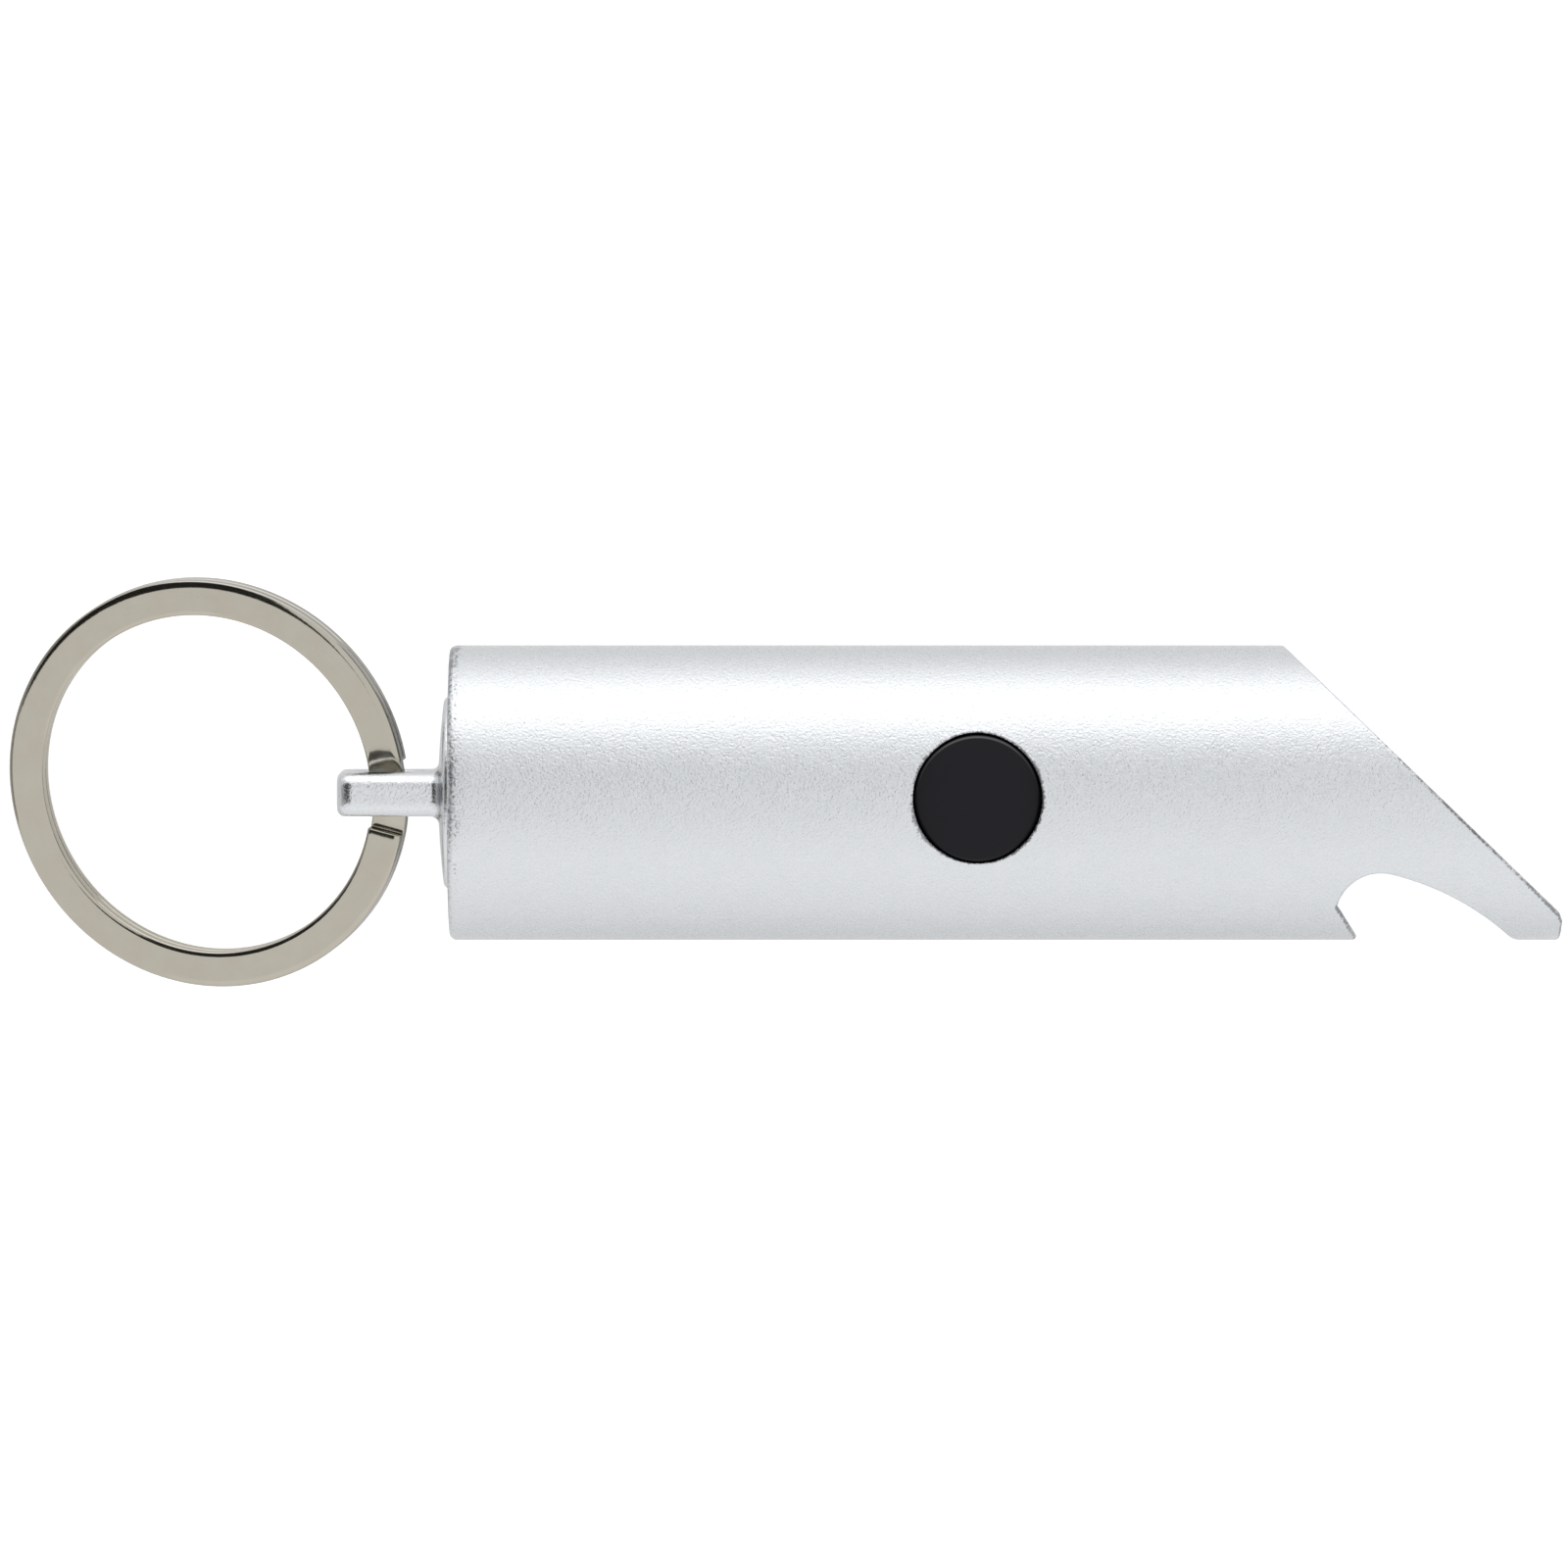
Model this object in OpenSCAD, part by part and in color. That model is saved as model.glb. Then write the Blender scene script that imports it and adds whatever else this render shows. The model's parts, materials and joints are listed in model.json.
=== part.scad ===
// Keychain flashlight with a crown cap opener cut into its barrel.
// The barrel lies along X, with the split ring at its -X end. The button faces +Z and the
// opener's notch faces -Y. The origin is on the barrel's axis, below the middle of the button.
// Inside the modules, x is counted from the barrel's rear face.

/* [Barrel] */
// Outside diameter of the barrel
barrel_d = 17.6; // [17:0.1:19]
// Length from the rear face to the end of the tip
barrel_length = 66.2; // [65:0.1:72]
// Radius of the rear rim
rim_radius = 0.45; // [0.2:0.05:0.7]
// Bevel at the mouth of the bore
mouth_bevel = 0.25; // [0.1:0.05:0.4]
// Angle between the slanted front face and the axis
slant_angle = 44; // [42:0.5:46]
// Height of the blunt end of the tip
tip_height = 1.7; // [1.4:0.1:2.2]
// Bevel on the tip's upper corner
tip_bevel = 0.3; // [0.15:0.05:0.5]
// Radius of the tip's lower corner
tip_radius = 0.35; // [0.2:0.05:0.6]

/* [Crown cap opener] */
// Distance from the rear face to the point of the lip
lip_from_rear = 54; // [53:0.1:55]
// Angle of the lip's face to the barrel's bottom line
lip_angle = 57; // [50:1:64]
// Radius of the lip's nose
lip_radius = 0.4; // [0.3:0.05:0.5]
// Depth of the notch at its throat
notch_depth = 4.32; // [4:0.02:4.5]
// Radius of the throat behind the lip
throat_radius = 2.6; // [2.4:0.05:2.8]
// How far the throat's centre lies in front of the lip's point
throat_lead = 1.3; // [1.1:0.05:1.5]
// Radius of the long arc under the pry bar
pry_radius = 16.2; // [14:0.1:20]
// Angle at which the long arc leaves the throat
pry_angle = 14; // [12:0.5:16]
// Radius where the long arc meets the barrel's bottom line
pry_corner_radius = 1; // [0.4:0.1:1.4]

/* [Cells] */
// Diameter of one button cell
cell_d = 11.6; // [11.5:0.05:11.8]
// Height of one button cell
cell_height = 5.4; // [5.2:0.05:5.5]
// Height of a cell's negative cap above its can
cell_cap_height = 0.3; // [0.2:0.05:0.4]
// Width of the crimped shoulder round the negative cap
cell_shoulder = 0.8; // [0.5:0.05:1.2]
// Radius of the can's closed corner
cell_corner_radius = 0.4; // [0.2:0.05:0.6]
// Radial gap between a cell and the insulating sleeve
cell_clearance = 0.05; // [0.03:0.01:0.1]
// Wall of the insulating sleeve
sleeve_wall = 0.15; // [0.1:0.01:0.2]
// Radial gap between the sleeve and the bore
sleeve_clearance = 0.05; // [0.03:0.01:0.1]

/* [End cap] */
// Gap between the cap's boss and the mouth of the bore
boss_gap = 0.3; // [0.2:0.05:0.5]
// How far the boss stands out of the rear face at its middle
boss_height = 0.67; // [0.4:0.01:1]
// Radius of the boss's domed face
boss_dome_radius = 46; // [36:1:80]
// Radius of the boss's edge
boss_edge_radius = 0.3; // [0.15:0.05:0.35]
// Depth of the cap inside the barrel
cap_depth = 6; // [5.6:0.1:7]
// Pitch of the cap's thread
thread_pitch = 1; // [0.8:0.05:1.1]
// Depth of the thread's grooves
thread_depth = 0.35; // [0.2:0.05:0.45]
// Radial running gap of the thread's crests
thread_clearance = 0.05; // [0.03:0.01:0.08]
// Thickness of the sealing ring
seal_thickness = 0.9; // [0.7:0.05:1]
// Radial gap on both sides of the sealing ring
seal_clearance = 0.025; // [0.02:0.005:0.04]
// Distance from the rear face to the sealing ring's groove
seal_groove_from_rear = 0.9; // [0.8:0.05:1.1]
// Depth of the recess that seats the spring
spring_recess = 1.5; // [1:0.1:2]

/* [Lug] */
// Thickness of the lug
lug_thickness = 2.63; // [2.3:0.05:3]
// Length of the lug from the boss
lug_length = 6; // [5.6:0.1:7]
// Width of the lug
lug_width = 7; // [6.4:0.1:8]
// Radius of the lug's rounded edges
lug_radius = 0.8; // [0.5:0.05:1]
// Distance from the lug's end to the middle of its hole
lug_hole_from_end = 3.1; // [3:0.05:3.4]
// Play of the ring's wire in the lug's hole, on each side
lug_hole_play = 0.92; // [0.8:0.01:1]

/* [Split ring] */
// Outside diameter of the split ring
ring_d = 25; // [24:0.5:30]
// Width of the ring's wire across the ring
ring_wire_width = 2.13; // [2:0.05:2.3]
// Thickness of one turn of the wire
ring_turn_thickness = 0.6; // [0.5:0.05:0.7]
// Gap between the two turns
ring_turn_gap = 0.05; // [0.03:0.01:0.08]
// Radius of the wire's edges
ring_wire_radius = 0.2; // [0.1:0.05:0.25]
// Arc between the wire's two ends, where the wire steps from one turn to the other
ring_step_arc = 21; // [18:1:30]
// Sideways lean of the ring at rest
ring_lean = 11; // [0:0.5:13]
// Turn of the ring in its own plane at rest
ring_yaw = 2.3; // [0:0.1:4]
// How far the wire hangs below the middle of the lug's hole
ring_drop = 0.65; // [0.3:0.05:0.7]

/* [Button] */
// Distance from the rear face to the middle of the button
button_from_rear = 31.4; // [31:0.1:33]
// Diameter of the button
button_d = 7.3; // [6.6:0.1:7.6]
// Gap between the button and its hole
button_gap = 0.17; // [0.1:0.01:0.25]
// How far the button's top lies below the barrel's crest
button_recess = 0.5; // [0.45:0.05:0.8]
// Rise of the button's domed top
button_crown = 0.2; // [0.1:0.05:0.3]
// Radius of the button's top edge
button_edge_radius = 0.4; // [0.3:0.05:0.6]
// How far the button's flange stands out
button_flange_lip = 0.65; // [0.5:0.05:0.8]
// Thickness of the button's flange
button_flange_thickness = 0.8; // [0.6:0.1:1]
// Gap between the flange and the bore
button_flange_gap = 0.05; // [0.03:0.01:0.1]
// Diameter of the button's pusher
pusher_d = 3; // [2:0.1:3.2]
// Height of the button's pusher
pusher_height = 0.45; // [0.3:0.05:0.6]
// Travel of the button
button_travel = 0.4; // [0.2:0.05:0.4]

/* [Switch] */
// Side of the square switch
switch_side = 6; // [5:0.1:6.2]
// Height of the switch housing above the board
switch_height = 3.3; // [3:0.1:3.5]
// Thickness of the switch's metal cover
switch_cover_thickness = 0.2; // [0.15:0.05:0.3]
// How far the plunger stands out of the switch
plunger_rise = 0.8; // [0.6:0.05:1]
// Diameter of the plunger
plunger_d = 3.4; // [3:0.1:3.5]
// Radial running gap of the plunger
plunger_clearance = 0.05; // [0.03:0.01:0.1]
// Thickness of the plunger's flange
plunger_flange_thickness = 0.5; // [0.4:0.05:0.55]
// Radius and height of the nib under the plunger
plunger_nib = 0.3; // [0.2:0.05:0.35]
// Diameter of the snap dome
dome_d = 4.4; // [4:0.1:4.5]
// Height left in the snap dome at the end of the button's travel
dome_spare_height = 0.25; // [0.2:0.01:0.3]
// Thickness of the snap dome
dome_thickness = 0.1; // [0.08:0.01:0.15]
// Width of a switch terminal
terminal_width = 0.7; // [0.5:0.05:0.9]
// Thickness of a switch terminal
terminal_thickness = 0.2; // [0.15:0.05:0.3]
// Distance between the terminals on one side
terminal_spacing = 4.5; // [4:0.1:4.8]

/* [Light module] */
// Wall of the two carrier halves
carrier_wall = 0.9; // [0.7:0.05:0.95]
// Radial gap between the carrier and the bore
carrier_clearance = 0.1; // [0.05:0.01:0.15]
// Thickness of the carrier's end walls
carrier_end_wall = 0.8; // [0.6:0.05:1]
// Thickness of the circuit board
board_thickness = 0.8; // [0.6:0.1:1]
// Gap round the board inside the carrier
board_gap = 0.1; // [0.05:0.05:0.2]
// Thickness of the contacts' sheet brass
contact_thickness = 0.3; // [0.2:0.05:0.4]
// Radius of the cell contact's disc
contact_radius = 3; // [2.5:0.1:3.5]
// Height of the bump on the cell contact
contact_bump = 0.3; // [0.2:0.05:0.4]
// Radius of the bump
contact_bump_radius = 1.5; // [1:0.1:2]
// Width of the contacts' tabs
contact_tab_width = 2; // [1.6:0.1:2.4]
// Length of the resistor
resistor_length = 3.2; // [2:0.1:3.4]
// Width of the resistor
resistor_width = 1.6; // [1:0.1:1.8]
// Height of the resistor
resistor_height = 0.6; // [0.4:0.05:0.8]
// Distance between the switch and the diode's leads on the board
lead_gap = 1; // [0.5:0.1:1.5]
// Distance between the ground contact and the board's front edge
ground_from_edge = 1.3; // [0.8:0.1:1.6]

/* [Light emitting diode] */
// Diameter of the diode's clear body
led_d = 4.9; // [4.6:0.1:5]
// Length of the diode's clear body
led_length = 8.6; // [8:0.1:8.8]
// How far the diode's foot stands out
led_foot_lip = 0.45; // [0.3:0.05:0.5]
// Thickness of the diode's foot
led_foot_thickness = 1; // [0.8:0.05:1.2]
// Distance between the two leads
led_lead_spacing = 2.54; // [2.3:0.02:2.6]
// Side of a square lead
led_lead_side = 0.5; // [0.4:0.05:0.55]
// Distance from the diode's foot to the top of its reflector cup
led_cup_top = 4.2; // [3.6:0.1:4.6]
// Radius of the reflector cup
led_cup_radius = 1; // [0.9:0.05:1.1]
// Height of the reflector cup
led_cup_height = 1.2; // [1.1:0.1:1.4]
// Height of the posts beside the cup
led_post_height = 1; // [0.8:0.05:1.1]
// Radius of the cup's recess
led_recess_radius = 0.7; // [0.6:0.05:0.8]
// Depth of the cup's recess
led_recess_depth = 0.5; // [0.3:0.05:0.6]
// Radial gap between the diode and its holder
led_clearance = 0.1; // [0.05:0.01:0.15]
// Wall of the holder's sleeve
holder_wall = 0.6; // [0.4:0.05:0.65]
// Radial gap between the holder and the front bore
holder_clearance = 0.05; // [0.03:0.01:0.1]
// Gap between the diode's tip and the window
led_window_gap = 0.2; // [0.1:0.05:0.4]
// Ledge that the window seats on
window_ledge = 0.3; // [0.2:0.05:0.4]
// Thickness of the window
window_thickness = 1.3; // [1:0.1:1.5]
// Radial gap round the window
window_clearance = 0.02; // [0.01:0.01:0.05]
// How far the window lies inside the slanted face
window_recess = 0.15; // [0.1:0.05:0.5]

/* [Spring] */
// Diameter of the spring's wire
spring_wire_d = 0.5; // [0.4:0.05:0.6]
// Length of the spring as fitted
spring_length = 3.85; // [3.4:0.05:4.2]
// Mean radius of the spring's wide end
spring_wide_radius = 3.8; // [3.4:0.1:4]
// Mean radius of the spring's narrow end
spring_narrow_radius = 2.4; // [2:0.1:3]
// Number of turns
spring_turns = 4; // [3:1:5]

/* [Hidden] */
$fn = 96;

// Overlap that keeps a cut from ending on a face
overcut = 1;
// Gap between pieces of one body that only lie against each other
touch = 0.02;
// Shares of the pitch from a thread ridge's middle to its flank, at the root and at the crest
root_share = 0.42;
crest_share = 0.08;

// Barrel and opener
barrel_r = barrel_d / 2;
sleeve_r = cell_d / 2 + cell_clearance + sleeve_wall;
bore_r = sleeve_r + sleeve_clearance;
tip_top = tip_height - barrel_r;
nose = [lip_from_rear - lip_radius, lip_radius - barrel_r];
throat = [lip_from_rear + throat_lead, notch_depth - throat_radius - barrel_r];
pry_side = [sin(pry_angle), cos(pry_angle)];
pry_centre = throat - (pry_radius - throat_radius) * pry_side;
pry_fall = -barrel_r - pry_centre[1];
pry_end = pry_centre + [sqrt(pow(pry_radius, 2) - pow(pry_fall, 2)), pry_fall];

// Diode, holder and window, set back from the slanted face
holder_r = led_d / 2 + led_clearance + holder_wall;
front_bore_r = holder_r + holder_clearance;
window_bore_r = front_bore_r + window_ledge;
window_front = slant_x(window_bore_r) - window_recess;
window_rear = window_front - window_thickness;
led_tip = window_rear - led_window_gap;
led_base = led_tip - led_length;
bore_end = led_base + led_foot_thickness;
led_foot_r = led_d / 2 + led_foot_lip;
cup_top = led_base + led_cup_top;

// Cells and contact, set forward from the cap
boss_r = bore_r - boss_gap;
thread_r = bore_r - thread_clearance;
seal_outer_r = bore_r - seal_clearance;
seal_floor_r = seal_outer_r - seal_thickness - seal_clearance;
seal_groove_width = seal_thickness + 2 * seal_clearance;
thread_start = seal_groove_from_rear + seal_groove_width + thread_pitch;
thread_count = floor((cap_depth - thread_start) / thread_pitch);
spring_seat = cap_depth - spring_recess;
cells_start = spring_seat + spring_length;
cell_count = 3;
cells_end = cells_start + cell_count * cell_height;
carrier_rear = cells_end + contact_bump + contact_thickness;

// Button and switch, stacked down from the bore's top
button_r = button_d / 2;
button_hole_r = button_r + button_gap;
flange_r = button_r + button_flange_lip;
flange_top = sqrt(pow(bore_r - button_flange_gap, 2) - pow(flange_r, 2));
flange_bottom = flange_top - button_flange_thickness;
plunger_top = flange_bottom - pusher_height - touch;
cover_top = plunger_top - plunger_rise;
housing_top = cover_top - switch_cover_thickness;
board_top = housing_top - switch_height;
board_bottom = board_top - board_thickness;
plunger_flange_top = housing_top - touch;
plunger_flange_bottom = plunger_flange_top - plunger_flange_thickness;
dome_height = button_travel + dome_spare_height;
dome_top = plunger_flange_bottom - plunger_nib - touch;
dome_floor = dome_top - dome_height;
well_r = dome_d / 2 + 2 * touch;

// Carrier and board
carrier_r = bore_r - carrier_clearance;
carrier_inner_r = carrier_r - carrier_wall;
board_half_width = sqrt(pow(carrier_inner_r, 2) - pow(board_bottom, 2)) - board_gap;
board_rear = carrier_rear + carrier_end_wall + board_gap;
board_front = led_base - carrier_end_wall - board_gap;
ground_x = board_front - ground_from_edge - contact_tab_width;

// Lug and ring
lug_end = -boss_height - lug_length;
lug_hole_x = lug_end + lug_hole_from_end;
lug_hole_r = ring_wire_width / 2 + lug_hole_play;
ring_mean_r = ring_d / 2 - ring_wire_width / 2;
ring_turn_rise = (ring_turn_thickness + ring_turn_gap) / 2;
ring_half_thickness = ring_turn_thickness + ring_turn_gap / 2;
ring_tilt = settle(low = 0, high = 60, halvings = 20);

// x of the slanted face at a height y above the axis
function slant_x(y) = barrel_length - (y - tip_top) / tan(slant_angle);

function unit(v) = v / norm(v);

// Height of the ring's lowest point when it hangs at this tilt
function lowest(tilt) =
    let (level = cos(tilt) * cos(ring_lean))
    let (fall = cos(ring_yaw) * sin(tilt) - sin(ring_yaw) * sin(ring_lean) * cos(tilt))
    -ring_drop - ring_mean_r * fall - ring_d / 2 * sqrt(1 - pow(level, 2)) - ring_half_thickness * level;

// Tilt at which the ring's lowest point meets the surface that the barrel lies on
function settle(low, high, halvings) =
    let (middle = (low + high) / 2)
    halvings == 0 ? low
    : lowest(middle) > -barrel_r ? settle(middle, high, halvings - 1)
    : settle(low, middle, halvings - 1);

function polar(radius, angle, height) = [radius * cos(angle), radius * sin(angle), height];

module in_frame() {
    translate([-button_from_rear, 0, 0]) children();
}

// Round bar along the barrel between two distances from the rear face
module rod(radius, from, to) {
    translate([from, 0, 0]) rotate([0, 90, 0]) cylinder(r = radius, h = to - from);
}

module tube(outer, inner, from, to) {
    difference() {
        rod(outer, from, to);
        rod(inner, from - overcut, to + overcut);
    }
}

// Outline turned about the barrel's axis: its x is the radius, its y the distance from the rear
module turned() {
    rotate([0, 90, 0]) rotate_extrude() children();
}

// Upright round post under the middle of the button
module post(radius, from, to) {
    translate([button_from_rear, 0, from]) cylinder(r = radius, h = to - from);
}

// Box between two corners
module block(low, high) {
    translate(low) cube(high - low);
}

// Cutter that rounds an outline's corner whose sides leave along a and b
module round_off(corner, a, b, radius) {
    middle = unit(unit(a) + unit(b));
    half = acos(unit(a) * unit(b)) / 2;
    centre = corner + middle * radius / sin(half);
    reach = radius / tan(half);
    difference() {
        polygon([corner - middle * radius, corner + unit(a) * reach, centre, corner + unit(b) * reach]);
        translate(centre) circle(r = radius);
    }
}

// Outline of one thread ridge between its root and its crest
module ridge_outline(root, crest) {
    polygon([[root, -thread_pitch * root_share], [crest, -thread_pitch * crest_share],
        [crest, thread_pitch * crest_share], [root, thread_pitch * root_share]]);
}

// Grooves of the thread: each is a ring with a triangular section
module thread_grooves(mouth_r, floor_r) {
    for (turn = [0:thread_count])
        translate([thread_start + turn * thread_pitch, 0, 0])
            turned()
                ridge_outline(mouth_r, floor_r);
}

// Closed surface through rings of points
module swept(rings) {
    sides = len(rings[0]);
    last = len(rings) - 1;
    first_end = [for (k = [sides - 1:-1:0]) k];
    last_end = [for (k = [0:sides - 1]) last * sides + k];
    walls = [for (i = [0:last - 1], k = [0:sides - 1])
        let (a = i * sides + k, b = i * sides + (k + 1) % sides)
        each [[a, b, b + sides], [a, b + sides, a + sides]]];
    polyhedron(points = [for (ring = rings) each ring], faces = concat([first_end, last_end], walls));
}

// Side view of the barrel with its slanted front and blunt, bevelled tip
module side_outline() {
    top = barrel_r + overcut;
    bevel_top = tip_top + tip_bevel * sin(slant_angle);
    polygon([[-overcut, -top], [barrel_length, -top], [barrel_length, tip_top - tip_bevel],
        [slant_x(bevel_top), bevel_top], [slant_x(top), top], [-overcut, top]]);
}

// Side view of the lip that catches a crown cap's skirt
module lip_outline() {
    face_start = nose + lip_radius * [sin(lip_angle), cos(lip_angle)];
    face_end = face_start + throat_radius * [-cos(lip_angle), sin(lip_angle)];
    back = nose[0] - 2 * throat_radius;
    below = -barrel_r - overcut;
    translate(nose) circle(r = lip_radius);
    polygon([face_start, face_end, [back, face_end[1]], [back, below], [nose[0], below], nose]);
}

// Side view of the opener's notch: the throat behind the lip, then the long arc under the pry bar
module notch_outline() {
    above = throat + (throat_radius + overcut) * pry_side;
    front = barrel_length + overcut;
    below = -barrel_r - overcut;
    difference() {
        union() {
            translate(throat) circle(r = throat_radius);
            intersection() {
                translate(pry_centre) circle(r = pry_radius, $fn = 360);
                polygon([throat, above, [front, above[1]], [front, below], [nose[0], below]]);
            }
        }
        lip_outline();
    }
    round_off(pry_end, [1, 0], [-pry_fall, pry_end[0] - pry_centre[0]], pry_corner_radius);
}

module barrel() {
    color([0.82, 0.83, 0.85]) in_frame() difference() {
        intersection() {
            // The turned blank's seam lies under the button
            rotate([180, 0, 0]) turned() difference() {
                square([barrel_r, barrel_length]);
                round_off([barrel_r, 0], [-1, 0], [0, 1], rim_radius);
            }
            linear_extrude(height = 2 * barrel_d, center = true) side_outline();
        }
        linear_extrude(height = 2 * barrel_d, center = true) {
            notch_outline();
            round_off([barrel_length, -barrel_r], [0, 1], [-1, 0], tip_radius);
        }
        rod(bore_r, -overcut, bore_end);
        rod(front_bore_r, bore_end - overcut, barrel_length);
        rod(window_bore_r, window_rear, barrel_length + overcut);
        turned() polygon([[0, -overcut], [bore_r + mouth_bevel + overcut, -overcut], [bore_r, mouth_bevel],
            [0, mouth_bevel]]);
        thread_grooves(bore_r - touch, bore_r + thread_depth);
        post(button_hole_r, 0, barrel_r + overcut);
    }
}

module end_cap() {
    color([0.82, 0.83, 0.85]) in_frame() difference() {
        union() {
            turned() difference() {
                intersection() {
                    translate([0, -boss_height]) square([boss_r, boss_height + seal_groove_from_rear]);
                    translate([0, boss_dome_radius - boss_height]) circle(r = boss_dome_radius, $fn = 720);
                }
                round_off([boss_r, pow(boss_r, 2) / (2 * boss_dome_radius) - boss_height],
                    [-1, 0], [0, 1], boss_edge_radius);
            }
            rod(thread_r, mouth_bevel + boss_gap, cap_depth);
            lug();
        }
        difference() {
            rod(bore_r, seal_groove_from_rear, seal_groove_from_rear + seal_groove_width);
            rod(seal_floor_r, 0, cap_depth);
        }
        turned() difference() {
            translate([thread_r - thread_depth, thread_start - thread_pitch / 2])
                square([thread_depth + overcut, cap_depth - thread_start]);
            thread_ridges();
        }
        rod(spring_wide_radius + spring_wire_d, spring_seat, cap_depth + overcut);
        translate([lug_hole_x, 0, 0]) rotate([90, 0, 0])
            cylinder(r = lug_hole_r, h = lug_thickness + 2 * overcut, center = true);
    }
}

// Outline of the ridges between the thread's grooves
module thread_ridges() {
    for (turn = [0:thread_count])
        translate([thread_r - thread_depth, thread_start + (turn - 0.5) * thread_pitch])
            ridge_outline(-touch, thread_depth);
}

// Flat lug with rounded edges, rooted in the cap
module lug() {
    x = [lug_end + lug_radius, seal_groove_from_rear];
    y = lug_thickness / 2 - lug_radius;
    z = lug_width / 2 - lug_radius;
    hull()
        for (side = [-1, 1], end = x, height = [-1, 1])
            translate([end, side * y, height * z]) sphere(r = lug_radius, $fn = 32);
}

module cap_o_ring() {
    color([0.06, 0.06, 0.06]) in_frame() turned()
        translate([seal_outer_r - seal_thickness / 2, seal_groove_from_rear + seal_groove_width / 2])
            circle(d = seal_thickness);
}

// Conical spring whose wide end lies in the cap and whose narrow end meets the first cell
module battery_spring() {
    sides = 8;
    steps = 14;
    rise = spring_length - spring_wire_d - 2 * touch;
    narrowing = spring_wide_radius - spring_narrow_radius;
    rings = [for (i = [0:spring_turns * steps])
        let (share = i / (spring_turns * steps))
        [for (k = [0:sides - 1])
            let (radius = spring_wide_radius - narrowing * share + spring_wire_d / 2 * cos(360 * k / sides))
            polar(radius, 360 * i / steps, rise * share + spring_wire_d / 2 * sin(360 * k / sides))]];
    color([0.85, 0.78, 0.55]) in_frame()
        translate([spring_seat + spring_wire_d / 2 + touch, 0, 0]) rotate([0, 90, 0]) swept(rings);
}

// Button cell number 1, 2 or 3: its negative cap faces the spring
module cell(number) {
    from = cells_start + (number - 1) * cell_height;
    can = cell_d / 2;
    color([0.78, 0.78, 0.76]) in_frame() translate([from, 0, 0]) {
        rod(can - cell_shoulder, 0, cell_cap_height + overcut);
        turned() difference() {
            translate([0, cell_cap_height]) square([can, cell_height - cell_cap_height]);
            round_off([can, cell_height], [-1, 0], [0, -1], cell_corner_radius);
            round_off([can, cell_cap_height], [-1, 0], [0, 1], cell_corner_radius);
        }
    }
}

module cell_1() { cell(1); }
module cell_2() { cell(2); }
module cell_3() { cell(3); }

module battery_sleeve() {
    color([0.93, 0.93, 0.9]) in_frame()
        tube(sleeve_r, sleeve_r - sleeve_wall, cap_depth + sleeve_clearance, cells_end);
}

// Brass disc with a bump against the last cell and a tab soldered to the board
module cell_contact() {
    half = contact_tab_width / 2;
    color([0.82, 0.66, 0.32]) in_frame() {
        rod(contact_bump_radius, cells_end + touch, carrier_rear - touch);
        rod(contact_radius, cells_end + contact_bump, carrier_rear - touch);
        block([carrier_rear - contact_thickness, -half, board_top + touch],
            [board_rear + contact_tab_width, half, board_top + touch + contact_thickness]);
    }
}

// Brass strip from the board down to the barrel's wall
module ground_contact() {
    half = contact_tab_width / 2;
    foot = -sqrt(pow(bore_r, 2) - pow(half, 2)) + sleeve_clearance;
    color([0.82, 0.66, 0.32]) in_frame() {
        block([ground_x, -half, foot], [ground_x + contact_thickness, half, board_bottom - touch]);
        block([ground_x, -half, board_bottom - touch - contact_thickness],
            [ground_x + contact_tab_width, half, board_bottom - touch]);
    }
}

// Closed tube with end walls that the two carrier halves are cut from
module carrier_shell() {
    rear_window = contact_tab_width / 2 + board_gap;
    lead_window = led_lead_spacing / 2 + led_lead_side;
    difference() {
        rod(carrier_r, carrier_rear, led_base - touch);
        rod(carrier_inner_r, carrier_rear + carrier_end_wall, led_base - carrier_end_wall);
        block([carrier_rear - overcut, -rear_window, board_top - board_gap],
            [board_rear + overcut, rear_window, board_top + contact_thickness + board_gap]);
        block([led_base - 2 * carrier_end_wall, -lead_window, board_top - board_gap],
            [led_base + overcut, lead_window, led_lead_side / 2 + board_gap]);
    }
}

module carrier_base() {
    slot_half = contact_tab_width / 2 + board_gap;
    rail = board_half_width - carrier_wall;
    color([0.9, 0.9, 0.88]) in_frame() {
        difference() {
            carrier_shell();
            block([carrier_rear - overcut, -barrel_r, -touch], [led_base + overcut, barrel_r, barrel_r]);
            block([ground_x - board_gap, -slot_half, -barrel_r],
                [ground_x + contact_thickness + board_gap, slot_half, board_bottom - contact_thickness]);
        }
        // Two rails carry the board
        for (side = [-1, 1])
            intersection() {
                rod(carrier_r - carrier_wall / 2, board_rear, board_front);
                translate([board_rear, side > 0 ? rail : -barrel_r, -barrel_r])
                    cube([board_front - board_rear, barrel_r - rail, board_bottom + barrel_r]);
            }
    }
}

module carrier_cover() {
    color([0.9, 0.9, 0.88]) in_frame() difference() {
        carrier_shell();
        block([carrier_rear - overcut, -barrel_r, -barrel_r], [led_base + overcut, barrel_r, touch]);
        post(flange_r + carrier_clearance, 0, barrel_r);
    }
}

module circuit_board() {
    color([0.1, 0.35, 0.2]) in_frame()
        block([board_rear, -board_half_width, board_bottom], [board_front, board_half_width, board_top]);
}

module switch_housing() {
    half = switch_side / 2;
    x = button_from_rear;
    color([0.08, 0.08, 0.08]) in_frame() difference() {
        block([x - half, -half, board_top + touch], [x + half, half, housing_top]);
        post(well_r, dome_floor, barrel_r);
    }
}

module switch_cover() {
    half = switch_side / 2;
    x = button_from_rear;
    color([0.75, 0.75, 0.75]) in_frame() difference() {
        block([x - half, -half, housing_top], [x + half, half, cover_top]);
        post(plunger_d / 2 + plunger_clearance, 0, barrel_r);
    }
}

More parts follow.
